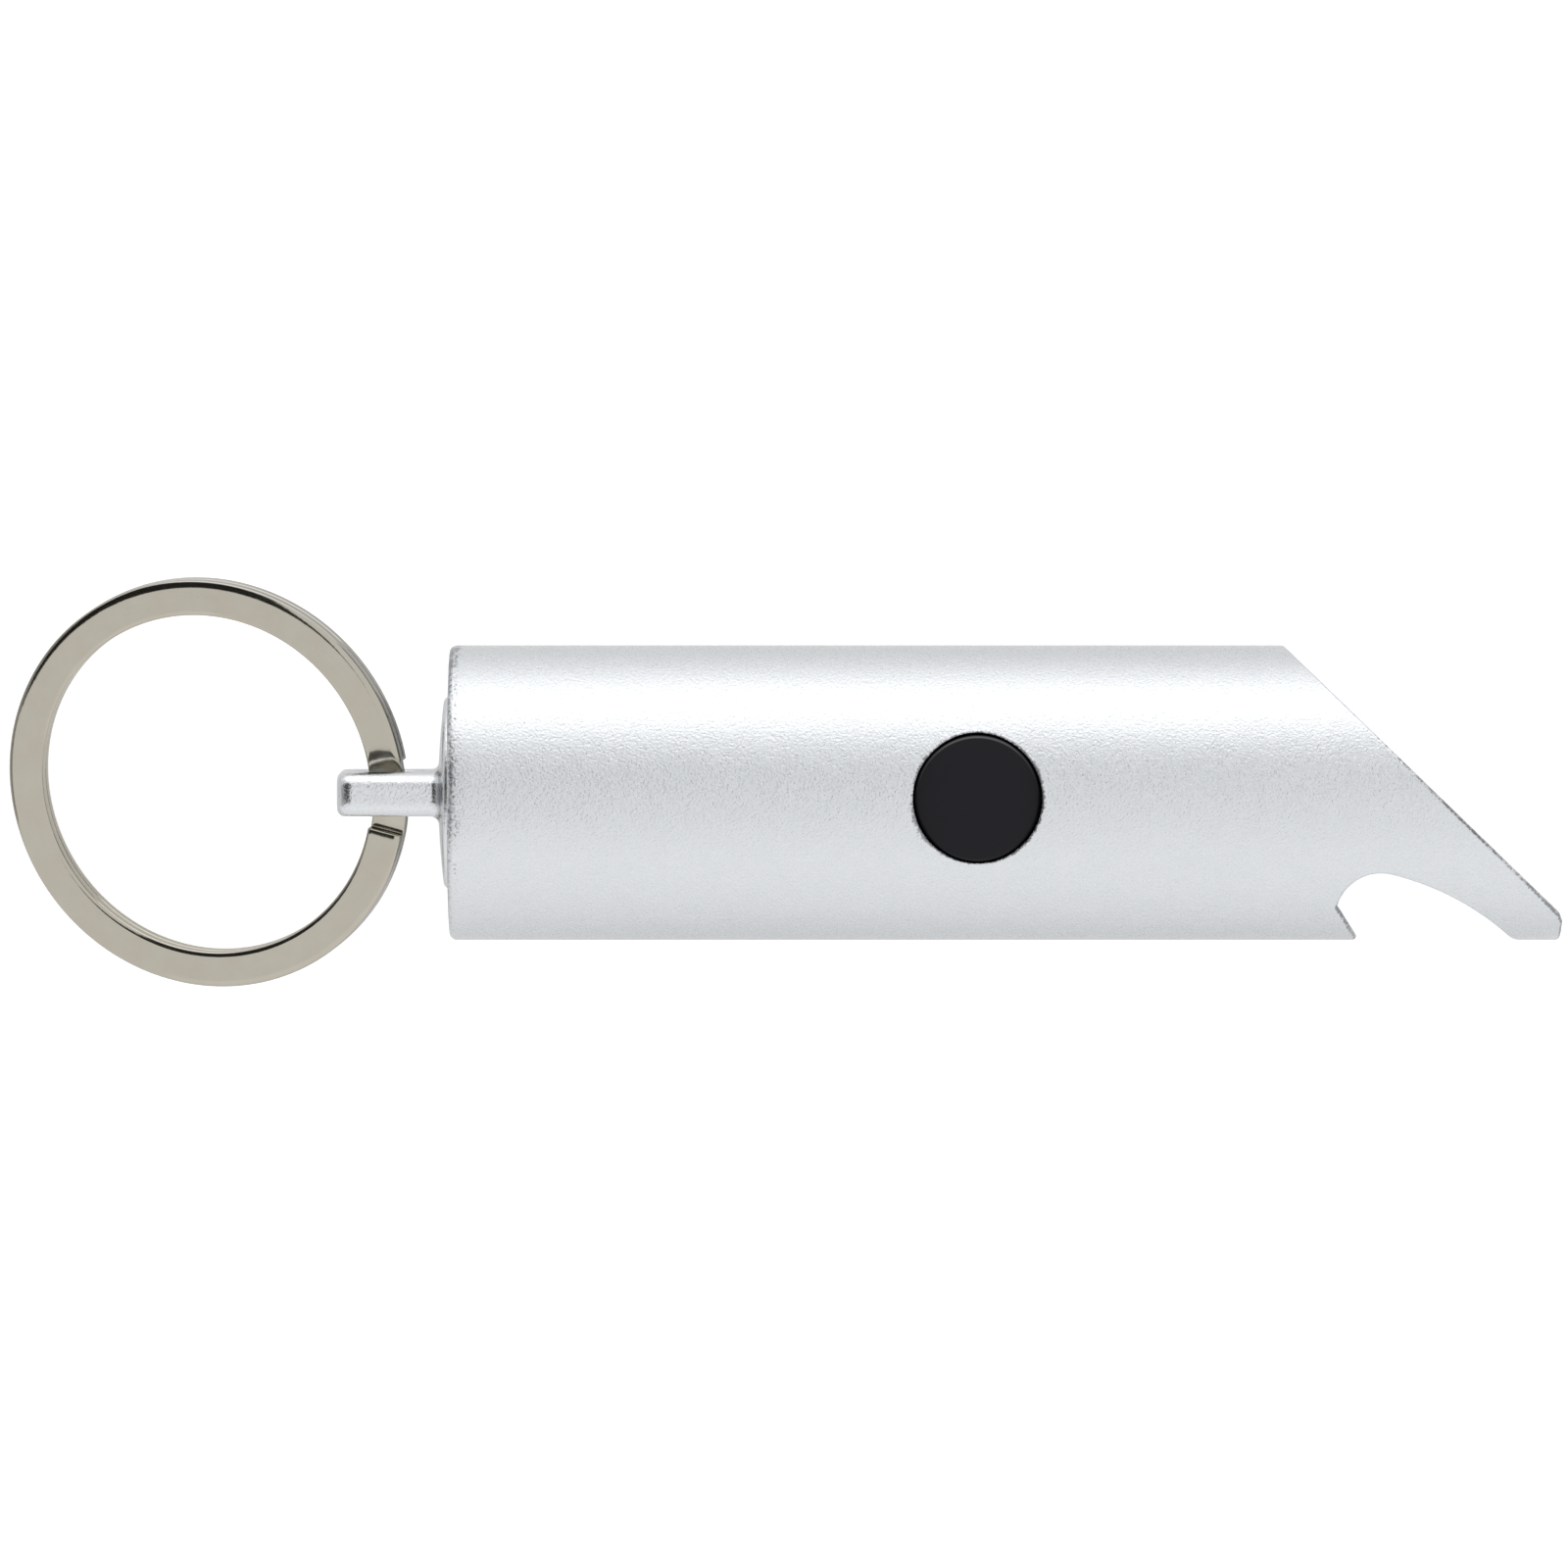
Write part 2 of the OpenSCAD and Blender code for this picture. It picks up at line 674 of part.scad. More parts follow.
// Shallow metal dome that snaps through when the plunger comes down
module switch_dome() {
    rise = dome_height - dome_thickness;
    outer = (pow(dome_d / 2, 2) + pow(rise, 2)) / (2 * rise) + dome_thickness / 2;
    color([0.8, 0.8, 0.8]) in_frame() translate([button_from_rear, 0, dome_floor]) rotate_extrude()
        intersection() {
            translate([0, touch]) square([dome_d / 2, dome_height]);
            translate([0, dome_height - outer]) difference() {
                circle(r = outer);
                circle(r = outer - dome_thickness);
            }
        }
}

module switch_plunger() {
    color([0.1, 0.1, 0.1]) in_frame() {
        post(plunger_d / 2, plunger_flange_bottom, plunger_top);
        post(dome_d / 2 - touch, plunger_flange_bottom, plunger_flange_top);
        post(plunger_nib, plunger_flange_bottom - plunger_nib, plunger_flange_bottom);
    }
}

// Four legs that fold down the housing's sides onto the board
module switch_terminals() {
    side = switch_side / 2 + touch;
    x = button_from_rear - terminal_width / 2;
    color([0.8, 0.8, 0.78]) in_frame()
        for (end = [-1, 1], turn = [0, 1])
            translate([x + end * terminal_spacing / 2, 0, board_top + touch]) mirror([0, turn, 0]) {
                block([0, side, 0], [terminal_width, side + terminal_thickness, switch_height / 2]);
                block([0, side, 0], [terminal_width, side + 2 * terminal_width, terminal_thickness]);
            }
}

// Series resistor on the underside of the board, below the switch
module resistor() {
    top = board_bottom - touch;
    color([0.12, 0.12, 0.13]) in_frame() translate([button_from_rear, 0, 0])
        block([-resistor_length / 2, -resistor_width / 2, top - resistor_height],
            [resistor_length / 2, resistor_width / 2, top]);
}

// Two leads, the cathode's reflector cup and the anode's post
module lead_frame(play) {
    side = led_lead_side / 2 + play;
    start = button_from_rear + switch_side / 2 + lead_gap;
    bend = led_base - carrier_end_wall;
    for (lead = [-1, 1]) {
        y = lead * led_lead_spacing / 2;
        block([bend, y - side, -side], [cup_top - led_post_height + play, y + side, side]);
        block([bend - led_lead_side, y - side, board_top + touch], [bend, y + side, side]);
        block([start, y - side, board_top + touch], [bend, y + side, board_top + touch + led_lead_side]);
    }
    block([cup_top - led_post_height, -led_lead_spacing / 2 - side, -side],
        [cup_top + play, -led_lead_side / 2 + play, side]);
    rod(led_cup_radius + play, cup_top - led_cup_height - play, cup_top + play);
}

module led_leads() {
    color([0.8, 0.8, 0.78]) in_frame() difference() {
        lead_frame(0);
        rod(led_recess_radius, cup_top - led_recess_depth, cup_top + overcut);
    }
}

module led_die() {
    color([0.95, 0.85, 0.3]) in_frame()
        rod(led_recess_radius - touch, cup_top - led_recess_depth + touch, cup_top);
}

module led_body() {
    radius = led_d / 2;
    color([0.9, 0.93, 0.95, 0.5]) in_frame() difference() {
        union() {
            rod(led_foot_r, led_base, bore_end - touch);
            rod(radius, led_base, led_tip - radius);
            translate([led_tip - radius, 0, 0]) sphere(r = radius);
        }
        lead_frame(touch);
    }
}

// Moulded holder: a flange on the bore's shoulder and a sleeve round the diode
module led_holder() {
    sleeve_end = window_rear - touch;
    color([0.92, 0.92, 0.92]) in_frame() difference() {
        union() {
            rod(carrier_r, led_base + touch, bore_end - touch);
            rod(holder_r, led_base + touch, sleeve_end);
        }
        rod(led_d / 2 + led_clearance, led_base, sleeve_end + overcut);
        rod(led_foot_r + led_clearance, led_base - overcut, bore_end);
    }
}

module front_window() {
    color([0.85, 0.9, 0.95, 0.4]) in_frame()
        rod(window_bore_r - window_clearance, window_rear + touch, window_front);
}

module button() {
    top = barrel_r - button_recess;
    rim = top - button_crown;
    crown_radius = (pow(button_r, 2) + pow(button_crown, 2)) / (2 * button_crown);
    color([0.08, 0.08, 0.085]) in_frame() translate([button_from_rear, 0, 0]) rotate_extrude() {
        difference() {
            intersection() {
                translate([0, flange_bottom]) square([button_r, top - flange_bottom]);
                translate([0, top - crown_radius]) circle(r = crown_radius, $fn = 360);
            }
            round_off([button_r, rim], [-1, 0], [0, -1], button_edge_radius);
        }
        translate([0, flange_bottom]) square([flange_r, button_flange_thickness]);
        translate([0, flange_bottom - pusher_height]) square([pusher_d / 2, pusher_height + touch]);
    }
}

// Section of the ring's wire, a flat bar with rounded edges, at one angle and height
function wire_section(angle, height) = [for (corner = [0:3], part = [0:2])
    let (turn = 90 * corner + 45 * part)
    let (side = corner == 0 || corner == 3 ? 1 : -1, level = corner < 2 ? 1 : -1)
    let (across = side * (ring_wire_width / 2 - ring_wire_radius) + ring_wire_radius * cos(turn))
    let (up = level * (ring_turn_thickness / 2 - ring_wire_radius) + ring_wire_radius * sin(turn))
    polar(ring_mean_r + across, angle, height + up)];

// Height of the wire along its two turns: the step between them lies in the lug
function wire_height(run) =
    run < 360 - ring_step_arc ? ring_turn_rise
    : run > 360 ? -ring_turn_rise
    : ring_turn_rise * cos(180 * (run - 360 + ring_step_arc) / ring_step_arc);

module split_ring() {
    turn_steps = 46;
    step_steps = 6;
    turn_arc = 360 - ring_step_arc;
    runs = concat([for (i = [0:turn_steps - 1]) turn_arc * i / turn_steps],
        [for (i = [0:step_steps]) turn_arc + ring_step_arc * i / step_steps],
        [for (i = [1:turn_steps]) 360 + turn_arc * i / turn_steps]);
    rings = [for (run = runs) wire_section(-ring_step_arc / 2 - run, wire_height(run))];
    color([0.72, 0.69, 0.63]) in_frame() translate([lug_hole_x, 0, -ring_drop])
        rotate([0, -ring_tilt, 0]) rotate([ring_lean, 0, 0]) rotate([0, 0, -ring_yaw])
            translate([-ring_mean_r, 0, 0]) swept(rings);
}

barrel();
end_cap();
cap_o_ring();
battery_spring();
cell_1();
cell_2();
cell_3();
battery_sleeve();
cell_contact();
ground_contact();
carrier_base();
carrier_cover();
circuit_board();
switch_housing();
switch_cover();
switch_dome();
switch_plunger();
switch_terminals();
resistor();
led_body();
led_leads();
led_die();
led_holder();
front_window();
button();
split_ring();
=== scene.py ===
"""Looks of a keychain flashlight with a crown cap opener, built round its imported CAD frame.

The barrel lies along X with the split ring at its -X end and the button facing +Z. Shapes are
drawn in millimetres, counted from the barrel's rear face along X, and each finished mesh is
brought into the row frame in metres.
"""

import json
import math

import bmesh
import bpy
from mathutils import Matrix, Vector


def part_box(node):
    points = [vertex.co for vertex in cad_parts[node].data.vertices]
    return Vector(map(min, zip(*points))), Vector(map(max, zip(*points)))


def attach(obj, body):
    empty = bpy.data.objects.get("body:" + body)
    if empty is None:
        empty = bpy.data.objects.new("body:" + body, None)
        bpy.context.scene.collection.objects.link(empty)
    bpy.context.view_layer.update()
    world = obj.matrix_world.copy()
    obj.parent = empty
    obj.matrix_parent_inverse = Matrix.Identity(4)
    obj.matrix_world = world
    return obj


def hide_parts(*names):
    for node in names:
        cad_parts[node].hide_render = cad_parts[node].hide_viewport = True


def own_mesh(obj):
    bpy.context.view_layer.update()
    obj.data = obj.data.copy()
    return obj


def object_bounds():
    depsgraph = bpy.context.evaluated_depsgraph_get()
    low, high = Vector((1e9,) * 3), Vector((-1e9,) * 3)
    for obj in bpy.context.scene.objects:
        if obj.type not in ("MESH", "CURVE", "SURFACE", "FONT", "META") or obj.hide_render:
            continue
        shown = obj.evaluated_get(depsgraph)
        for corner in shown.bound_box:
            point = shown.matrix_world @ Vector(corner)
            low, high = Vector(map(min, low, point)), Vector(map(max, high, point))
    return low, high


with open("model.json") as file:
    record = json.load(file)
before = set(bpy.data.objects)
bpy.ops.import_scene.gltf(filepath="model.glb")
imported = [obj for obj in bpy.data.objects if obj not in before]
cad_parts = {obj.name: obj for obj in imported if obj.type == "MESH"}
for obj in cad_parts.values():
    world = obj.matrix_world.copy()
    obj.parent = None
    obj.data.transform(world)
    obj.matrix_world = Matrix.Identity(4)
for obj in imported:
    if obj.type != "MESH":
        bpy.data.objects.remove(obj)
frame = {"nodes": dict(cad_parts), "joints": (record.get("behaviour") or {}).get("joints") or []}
cad_low, cad_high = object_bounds()

MM = 0.001
barrel_low, barrel_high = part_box("barrel")
REAR = barrel_low.x / MM  # x of the barrel's rear face in the row frame
R = barrel_high.z / MM  # radius of the barrel
LENGTH = (barrel_high.x - barrel_low.x) / MM
BUTTON = -REAR  # distance from the rear face to the middle of the button

# Barrel, opener and bores, in millimetres
EDGE = 0.25  # radius that tumbling and blasting leave on the cut edges
HOLE_EDGE = 0.12
RIM = 0.45  # radius of the rear rim
RIM_SHADE_LENGTH = 1.0  # length behind the rear rim over which its painted dark reflection fades out in specks
RIM_PAINTED_SHADE = 0.85  # strength of the painted dark reflection, in specks, on that length and the rim
SLANT = math.radians(44)
TIP_TOP = 1.7 - R
TIP_BEVEL = 0.3
LIP_ANGLE = 57
LIP_FOOT = Vector((54.3, -R))  # where the lip's face would meet the barrel's lowest line
THROAT = Vector((55.3, 1.72 - R))
THROAT_RADIUS = 2.6
THROAT_CORNER = 0.15  # left by the cutter between the lip's face and the throat
PRY_ANGLE = 14
PRY_RADIUS = 16.2
PRY_CORNER = 1.5
HOLE_R = 3.82
HOLE_DEPTH = 3.0  # height above the axis where the hole's wall ends, inside the bore
BORE_R = 6.05
BORE_END = 45.9734
FRONT_BORE_R = 3.2
WINDOW_BORE_R = 3.5
WINDOW_REAR = 53.7734
WINDOW_FRONT = 55.0734
MOUTH_BEVEL = 0.25
WINDOW_EDGE = 0.12
BESIDE_WINDOW = 3.9  # height up to which the slanted surface beside the window is one face
THREAD_PITCH = 1.0
THREAD_START = 2.85
THREAD_DEPTH = 0.35
GROOVES = 4
ROOT_HALF = 0.42 * THREAD_PITCH  # half the width of the thread's ridge at its foot
CREST_HALF = 0.08 * THREAD_PITCH  # and at its crest

# Cap and lug
BOSS_R = 5.75
BOSS_HEIGHT = 0.67
DOME_R = 46.0
BOSS_EDGE = 0.4
PLUG_START = 0.55
PLUG_R = 6.0
PLUG_BEVEL = 0.06
CAP_DEPTH = 6.0
CAP_BEVEL = 0.1  # on the cap's inner end and its recess
SEAL_GROOVE = (0.9, 1.85, 5.1)  # where it starts and ends, and the radius of its floor
SEAL_BEVEL = 0.04
RECESS_R = 4.3
RECESS_START = 4.5
LUG_END = -BOSS_HEIGHT - 6.0
LUG_HALF = (2.63 / 2, 7.0 / 2)
LUG_ROUND = 0.95  # along its top and bottom
LUG_END_EDGES = (0.45, 1.0)  # rounding of its free end: across the thickness, and up the height
LUG_ROOT = 0.55
LUG_HOLE_X = LUG_END + 3.1
LUG_HOLE_R = 1.985
LUG_HOLE_EDGE = 0.25

# Split ring
RING_MEAN_R = 11.435
RING_WIDTH = 2.13
RING_THICKNESS = 0.6
OUTER_SHOULDER = (0.46, 0.18)  # how far tumbling rounds the faces' edges: across, and down
INNER_SHOULDER = (0.32, 0.15)
TUCKED_EDGE = (0.12, 0.12)  # between the two turns the edges stay sharper
RING_RISE = 0.325
RING_STEP = 21
RING_TILT = 16.9956
RING_LEAN = 11
RING_YAW = 2.3
RING_DROP = 0.65
RING_TURN = -1.3  # about its own middle, which sets where its two ends lie beside the lug
RING_END_EDGE = 0.09  # rounding of the wire's cut ends

# Edge mask: the barrel's edges darken in specks of wear and painted dark reflection, and the
# button's rim takes a painted highlight
WEAR_AND_LIGHT = "edge wear and painted light"  # attribute: 1 in the middle of an edge's rounding, 0 on the faces beside it
DULL = "dull side"  # attribute: 1 on the split ring's outer side, 0 elsewhere

# Fineness of the meshes: points nearer than MERGE are one, and so are those nearer than JOIN
# where the barrel's halves meet. Its strips are at least STRIP wide and swallow points within
# SNAP of their sides
MERGE = 0.0004
JOIN = 0.001
STRIP = 0.012
SNAP = 0.004
CAP_STEPS = 224  # points of a row round the end cap
TURN_ROWS = 150  # rows of one turn of the split ring
STEP_ROWS = 16  # rows of the step between its turns

# ---------------------------------------------------------------- shapes


def polar(degrees, length=1.0):
    """Vector in the plane with this direction and length."""
    angle = math.radians(degrees)
    return Vector((math.cos(angle), math.sin(angle))) * length


def lathe(bm, outline, steps=160, upright=False):
    """Turns an outline of (distance, radius) round the barrel's axis, or round the button's."""
    if upright:
        places = [Vector((BUTTON, r, d)) for d, r in outline]
        centre, axis = Vector((BUTTON, 0, 0)), (0, 0, 1)
    else:
        places = [Vector((d, 0, -r)) for d, r in outline]
        centre, axis = Vector((0, 0, 0)), (1, 0, 0)
    on_axis = outline[0][1] == 0 and outline[-1][1] == 0
    verts = [bm.verts.new(p) for p in places]
    ends = range(len(verts) - 1) if on_axis else range(-1, len(verts) - 1)
    edges = [bm.edges.new((verts[i], verts[i + 1])) for i in ends]
    bmesh.ops.spin(
        bm, geom=verts + edges, cent=centre, axis=axis, angle=math.tau, steps=steps, use_merge=True
    )
    bmesh.ops.remove_doubles(bm, verts=bm.verts, dist=MERGE)
    bmesh.ops.recalc_face_normals(bm, faces=bm.faces)


def drawn_out(bm, edges):
    """Draws edges out into a row of faces, and gives the new points and the new outer edges."""
    made = bmesh.ops.extrude_edge_only(bm, edges=edges)["geom"]
    verts = {g for g in made if isinstance(g, bmesh.types.BMVert)}
    return verts, [g for g in made if isinstance(g, bmesh.types.BMEdge) and set(g.verts) <= verts]


def cut_across(bm, point, normal):
    """Splits the faces along a plane."""
    bmesh.ops.bisect_plane(
        bm,
        geom=bm.verts[:] + bm.edges[:] + bm.faces[:],
        dist=SNAP,
        plane_co=point,
        plane_no=normal,
    )


def to_mesh(bm, name):
    mesh = bpy.data.meshes.new(name)
    bm.to_mesh(mesh)
    bm.free()
    return mesh


def in_scene(name, data):
    obj = bpy.data.objects.new(name, data)
    bpy.context.scene.collection.objects.link(obj)
    return obj


def put_in_order(bm):
    """Sorts points by place, and edges and faces by their points, so that each run goes on
    alike. A cut leaves them in an order that varies."""

    def sort(parts, key):
        rank = {part: k for k, part in enumerate(sorted(parts, key=key))}
        parts.sort(key=rank.get)
        parts.index_update()

    sort(bm.verts, lambda vert: vert.co[:])
    for parts in (bm.edges, bm.faces):
        sort(parts, lambda part: sorted(v.index for v in part.verts))


def carved(bm, cutter, name):
    """The first shape with the second one cut out of it, as a new bmesh, all in millimetres."""
    body = in_scene(name, to_mesh(bm, name))
    tool = in_scene(name + "_cutter", to_mesh(cutter, name + "_cutter"))
    cut = body.modifiers.new("cut", "BOOLEAN")
    cut.operation = "DIFFERENCE"
    cut.solver = "EXACT"
    cut.object = tool
    bpy.context.view_layer.update()
    made = body.evaluated_get(bpy.context.evaluated_depsgraph_get())
    result = bmesh.new()
    result.from_mesh(made.to_mesh())
    made.to_mesh_clear()
    put_in_order(result)
    for obj in (body, tool):
        data = obj.data
        bpy.data.objects.remove(obj)
        bpy.data.meshes.remove(data)
    return result


def piece(bm, name, body, finish, slot, *replaced, sharp=30, weighted=False):
    """Brings a shape into the row frame in metres as a finished piece on its CAD body. Edges
    sharper than an angle in degrees, or marked as creases before, stay sharp."""
    bmesh.ops.remove_doubles(bm, verts=bm.verts, dist=MERGE)
    bmesh.ops.recalc_face_normals(bm, faces=bm.faces)
    place = Matrix.Scale(MM, 4) @ Matrix.Translation((REAR, 0, 0))
    bmesh.ops.transform(bm, matrix=place, verts=bm.verts)
    for face in bm.faces:
        face.smooth = True
    for edge in bm.edges:
        if edge.calc_face_angle(math.pi) > math.radians(sharp):
            edge.smooth = False
    mesh = to_mesh(bm, name)
    mesh.materials.append(finish)
    obj = in_scene(name, mesh)
    if weighted:
        normals = obj.modifiers.new("flat faces stay flat", "WEIGHTED_NORMAL")
        normals.keep_sharp = True
    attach(obj, body)
    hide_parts(*replaced)
    return obj


# ---------------------------------------------------------------- finishes


def linear(colour):
    """Linear colour of an sRGB hex value."""
    parts = [int(colour[i : i + 2], 16) / 255 for i in (1, 3, 5)]
    return [p / 12.92 if p <= 0.04045 else ((p + 0.055) / 1.055) ** 2.4 for p in parts] + [1]


def add(tree, kind, inputs=None, **settings):
    """Adds a node, sets it up and fills or links its inputs."""
    node = tree.nodes.new(kind)
    for name, value in settings.items():
        setattr(node, name, value)
    for key, value in (inputs or {}).items():
        if isinstance(value, bpy.types.NodeSocket):
            tree.links.new(value, node.inputs[key])
        else:
            node.inputs[key].default_value = value
    return node


def new_material(name):
    """Empty material with its shader and output, and the piece's own coordinates."""
    material = bpy.data.materials.new(name)
    material.use_nodes = True
    tree = material.node_tree
    tree.nodes.clear()
    shader = add(tree, "ShaderNodeBsdfPrincipled")
    add(tree, "ShaderNodeOutputMaterial", {"Surface": shader.outputs["BSDF"]})
    place = add(tree, "ShaderNodeTexCoord").outputs["Object"]
    return material, tree, shader, place


def per_mm(size):
    """Scale that gives a pattern features of this size in millimetres."""
    return 1 / (size * MM)


def blasted_aluminium(name, rough, dent_depth):
    """Aluminium, bead-blasted and clear anodised: an even satin silver whose small dents break the
    light up into grains, with the edges darker in specks: wear, and painted dark reflection.
    Roughness is a range, and the depth of the dents is in millimetres."""
    material, tree, shader, place = new_material(name)
    # Bead dents are about 0.05 mm across; drawn at 0.15 mm so that they show
    dents = add(
        tree,
        "ShaderNodeTexNoise",
        {"Vector": place, "Scale": per_mm(0.15), "Detail": 2.0, "Roughness": 0.65},
    )
    clouds = add(
        tree,
        "ShaderNodeTexNoise",
        {"Vector": place, "Scale": per_mm(1.4), "Detail": 3.0, "Roughness": 0.55},
    )
    # Dents hold a little shade, and the anodising drifts in soft clouds
    shading = add(
        tree,
        "ShaderNodeMath",
        {0: dents.outputs["Fac"], 1: 1.1, 2: -0.15},
        operation="MULTIPLY_ADD",
    )
    drift = add(
        tree,
        "ShaderNodeMath",
        {0: clouds.outputs["Fac"], 1: 0.25, 2: shading.outputs["Value"]},
        operation="MULTIPLY_ADD",
        use_clamp=True,
    )
    tone = add(
        tree,
        "ShaderNodeMix",
        {"Factor": drift.outputs["Value"], "A": linear("#cccfd1"), "B": linear("#e2e4e7")},
        data_type="RGBA",
    )
    # Specks on the marked edges, wear and painted dark reflection, are 0.1 to 0.3 mm across and
    # come in patches a few millimetres long
    specks = add(
        tree,
        "ShaderNodeTexNoise",
        {"Vector": place, "Scale": per_mm(0.2), "Detail": 2.0, "Roughness": 0.7},
    )
    patches = add(
        tree,
        "ShaderNodeTexNoise",
        {"Vector": place, "Scale": per_mm(3.0), "Detail": 2.0, "Roughness": 0.5},
    )
    edge_wear_and_light = add(tree, "ShaderNodeAttribute", attribute_name=WEAR_AND_LIGHT)
    # Round the button's hole the drill has scuffed the face, in a band 0.35 mm wide. The height
    # on the round of the barrel counts less there than the distance across
    from_hole = add(
        tree,
        "ShaderNodeVectorMath",
        {0: place, 1: (1.0, 1.0, 0.4), 2: (0.0, 0.0, -0.4 * R * MM)},
        operation="MULTIPLY_ADD",
    )
    reach = add(tree, "ShaderNodeVectorMath", {0: from_hole.outputs["Vector"]}, operation="LENGTH")
    scuffed = add(
        tree,
        "ShaderNodeMapRange",
        {
            "Value": reach.outputs["Value"],
            "From Min": (HOLE_R + 0.1) * MM,
            "From Max": (HOLE_R + 0.45) * MM,
            "To Min": 0.92,
            "To Max": 0.0,
        },
    )
    worn_and_shaded = add(
        tree,
        "ShaderNodeMath",
        {0: edge_wear_and_light.outputs["Fac"], 1: scuffed.outputs["Result"]},
        operation="MAXIMUM",
    )
    speckled = add(
        tree,
        "ShaderNodeMath",
        {0: specks.outputs["Fac"], 1: 1.6, 2: worn_and_shaded.outputs["Value"]},
        operation="MULTIPLY_ADD",
    )
    patchy = add(
        tree,
        "ShaderNodeMapRange",
        {
            "Value": patches.outputs["Fac"],
            "From Min": 0.35,
            "From Max": 0.65,
            "To Min": -1.05,
            "To Max": -0.7,
        },
    )
    spread = add(
        tree,
        "ShaderNodeMath",
        {0: speckled.outputs["Value"], 1: patchy.outputs["Result"]},
        operation="ADD",
    )
    rubbed_and_painted_light = add(
        tree,
        "ShaderNodeMapRange",
        {"Value": spread.outputs["Value"], "From Min": 0.62, "From Max": 0.9, "To Max": 0.8},
    )
    # The marked edges darken towards this grey: wear, and painted dark reflection
    shade = add(
        tree,
        "ShaderNodeMix",
        {"Factor": rubbed_and_painted_light.outputs["Result"], "A": tone.outputs["Result"], "B": linear("#74767a")},
        data_type="RGBA",
    )
    gloss = add(
        tree,
        "ShaderNodeMapRange",
        {
            "Value": dents.outputs["Fac"],
            "From Min": 0.3,
            "From Max": 0.7,
            "To Min": rough[0],
            "To Max": rough[1],
        },
    )
    relief = add(
        tree,
        "ShaderNodeBump",
        {"Height": dents.outputs["Fac"], "Strength": 1.0, "Distance": dent_depth * MM},
    )
    shader.inputs["Metallic"].default_value = 1.0
    tree.links.new(shade.outputs["Result"], shader.inputs["Base Color"])
    tree.links.new(gloss.outputs["Result"], shader.inputs["Roughness"])
    tree.links.new(relief.outputs["Normal"], shader.inputs["Normal"])
    return material


def finish_of(
    name, colour, second, size, rough, metallic=0.0, relief=0.0, rubbed_and_painted_light=None, sockets=None
):
    """A plain finish: two close tones in a grain of this size in millimetres, with its own
    roughness range and relief in millimetres, and a colour for the edges in the edge mask, which
    on the button's rim is a painted highlight."""
    material, tree, shader, place = new_material(name)
    grain = add(
        tree,
        "ShaderNodeTexNoise",
        {"Vector": place, "Scale": per_mm(size), "Detail": 3.0, "Roughness": 0.6},
    )
    tone = add(
        tree,
        "ShaderNodeMix",
        {"Factor": grain.outputs["Fac"], "A": linear(colour), "B": linear(second)},
        data_type="RGBA",
    )
    gloss = add(
        tree,
        "ShaderNodeMapRange",
        {
            "Value": grain.outputs["Fac"],
            "From Min": 0.3,
            "From Max": 0.7,
            "To Min": rough[0],
            "To Max": rough[1],
        },
    )
    if rubbed_and_painted_light:
        # The marked edges take this colour: on the button's rim it is a painted highlight
        edge_wear_and_light = add(tree, "ShaderNodeAttribute", attribute_name=WEAR_AND_LIGHT)
        tone = add(
            tree,
            "ShaderNodeMix",
            {"Factor": edge_wear_and_light.outputs["Fac"], "A": tone.outputs["Result"], "B": linear(rubbed_and_painted_light)},
            data_type="RGBA",
        )
    tree.links.new(tone.outputs["Result"], shader.inputs["Base Color"])
    tree.links.new(gloss.outputs["Result"], shader.inputs["Roughness"])
    if relief:
        bump = add(
            tree,
            "ShaderNodeBump",
            {"Height": grain.outputs["Fac"], "Strength": 1.0, "Distance": relief * MM},
        )
        tree.links.new(bump.outputs["Normal"], shader.inputs["Normal"])
    shader.inputs["Metallic"].default_value = metallic
    for key, value in (sockets or {}).items():
        shader.inputs[key].default_value = value
    return material


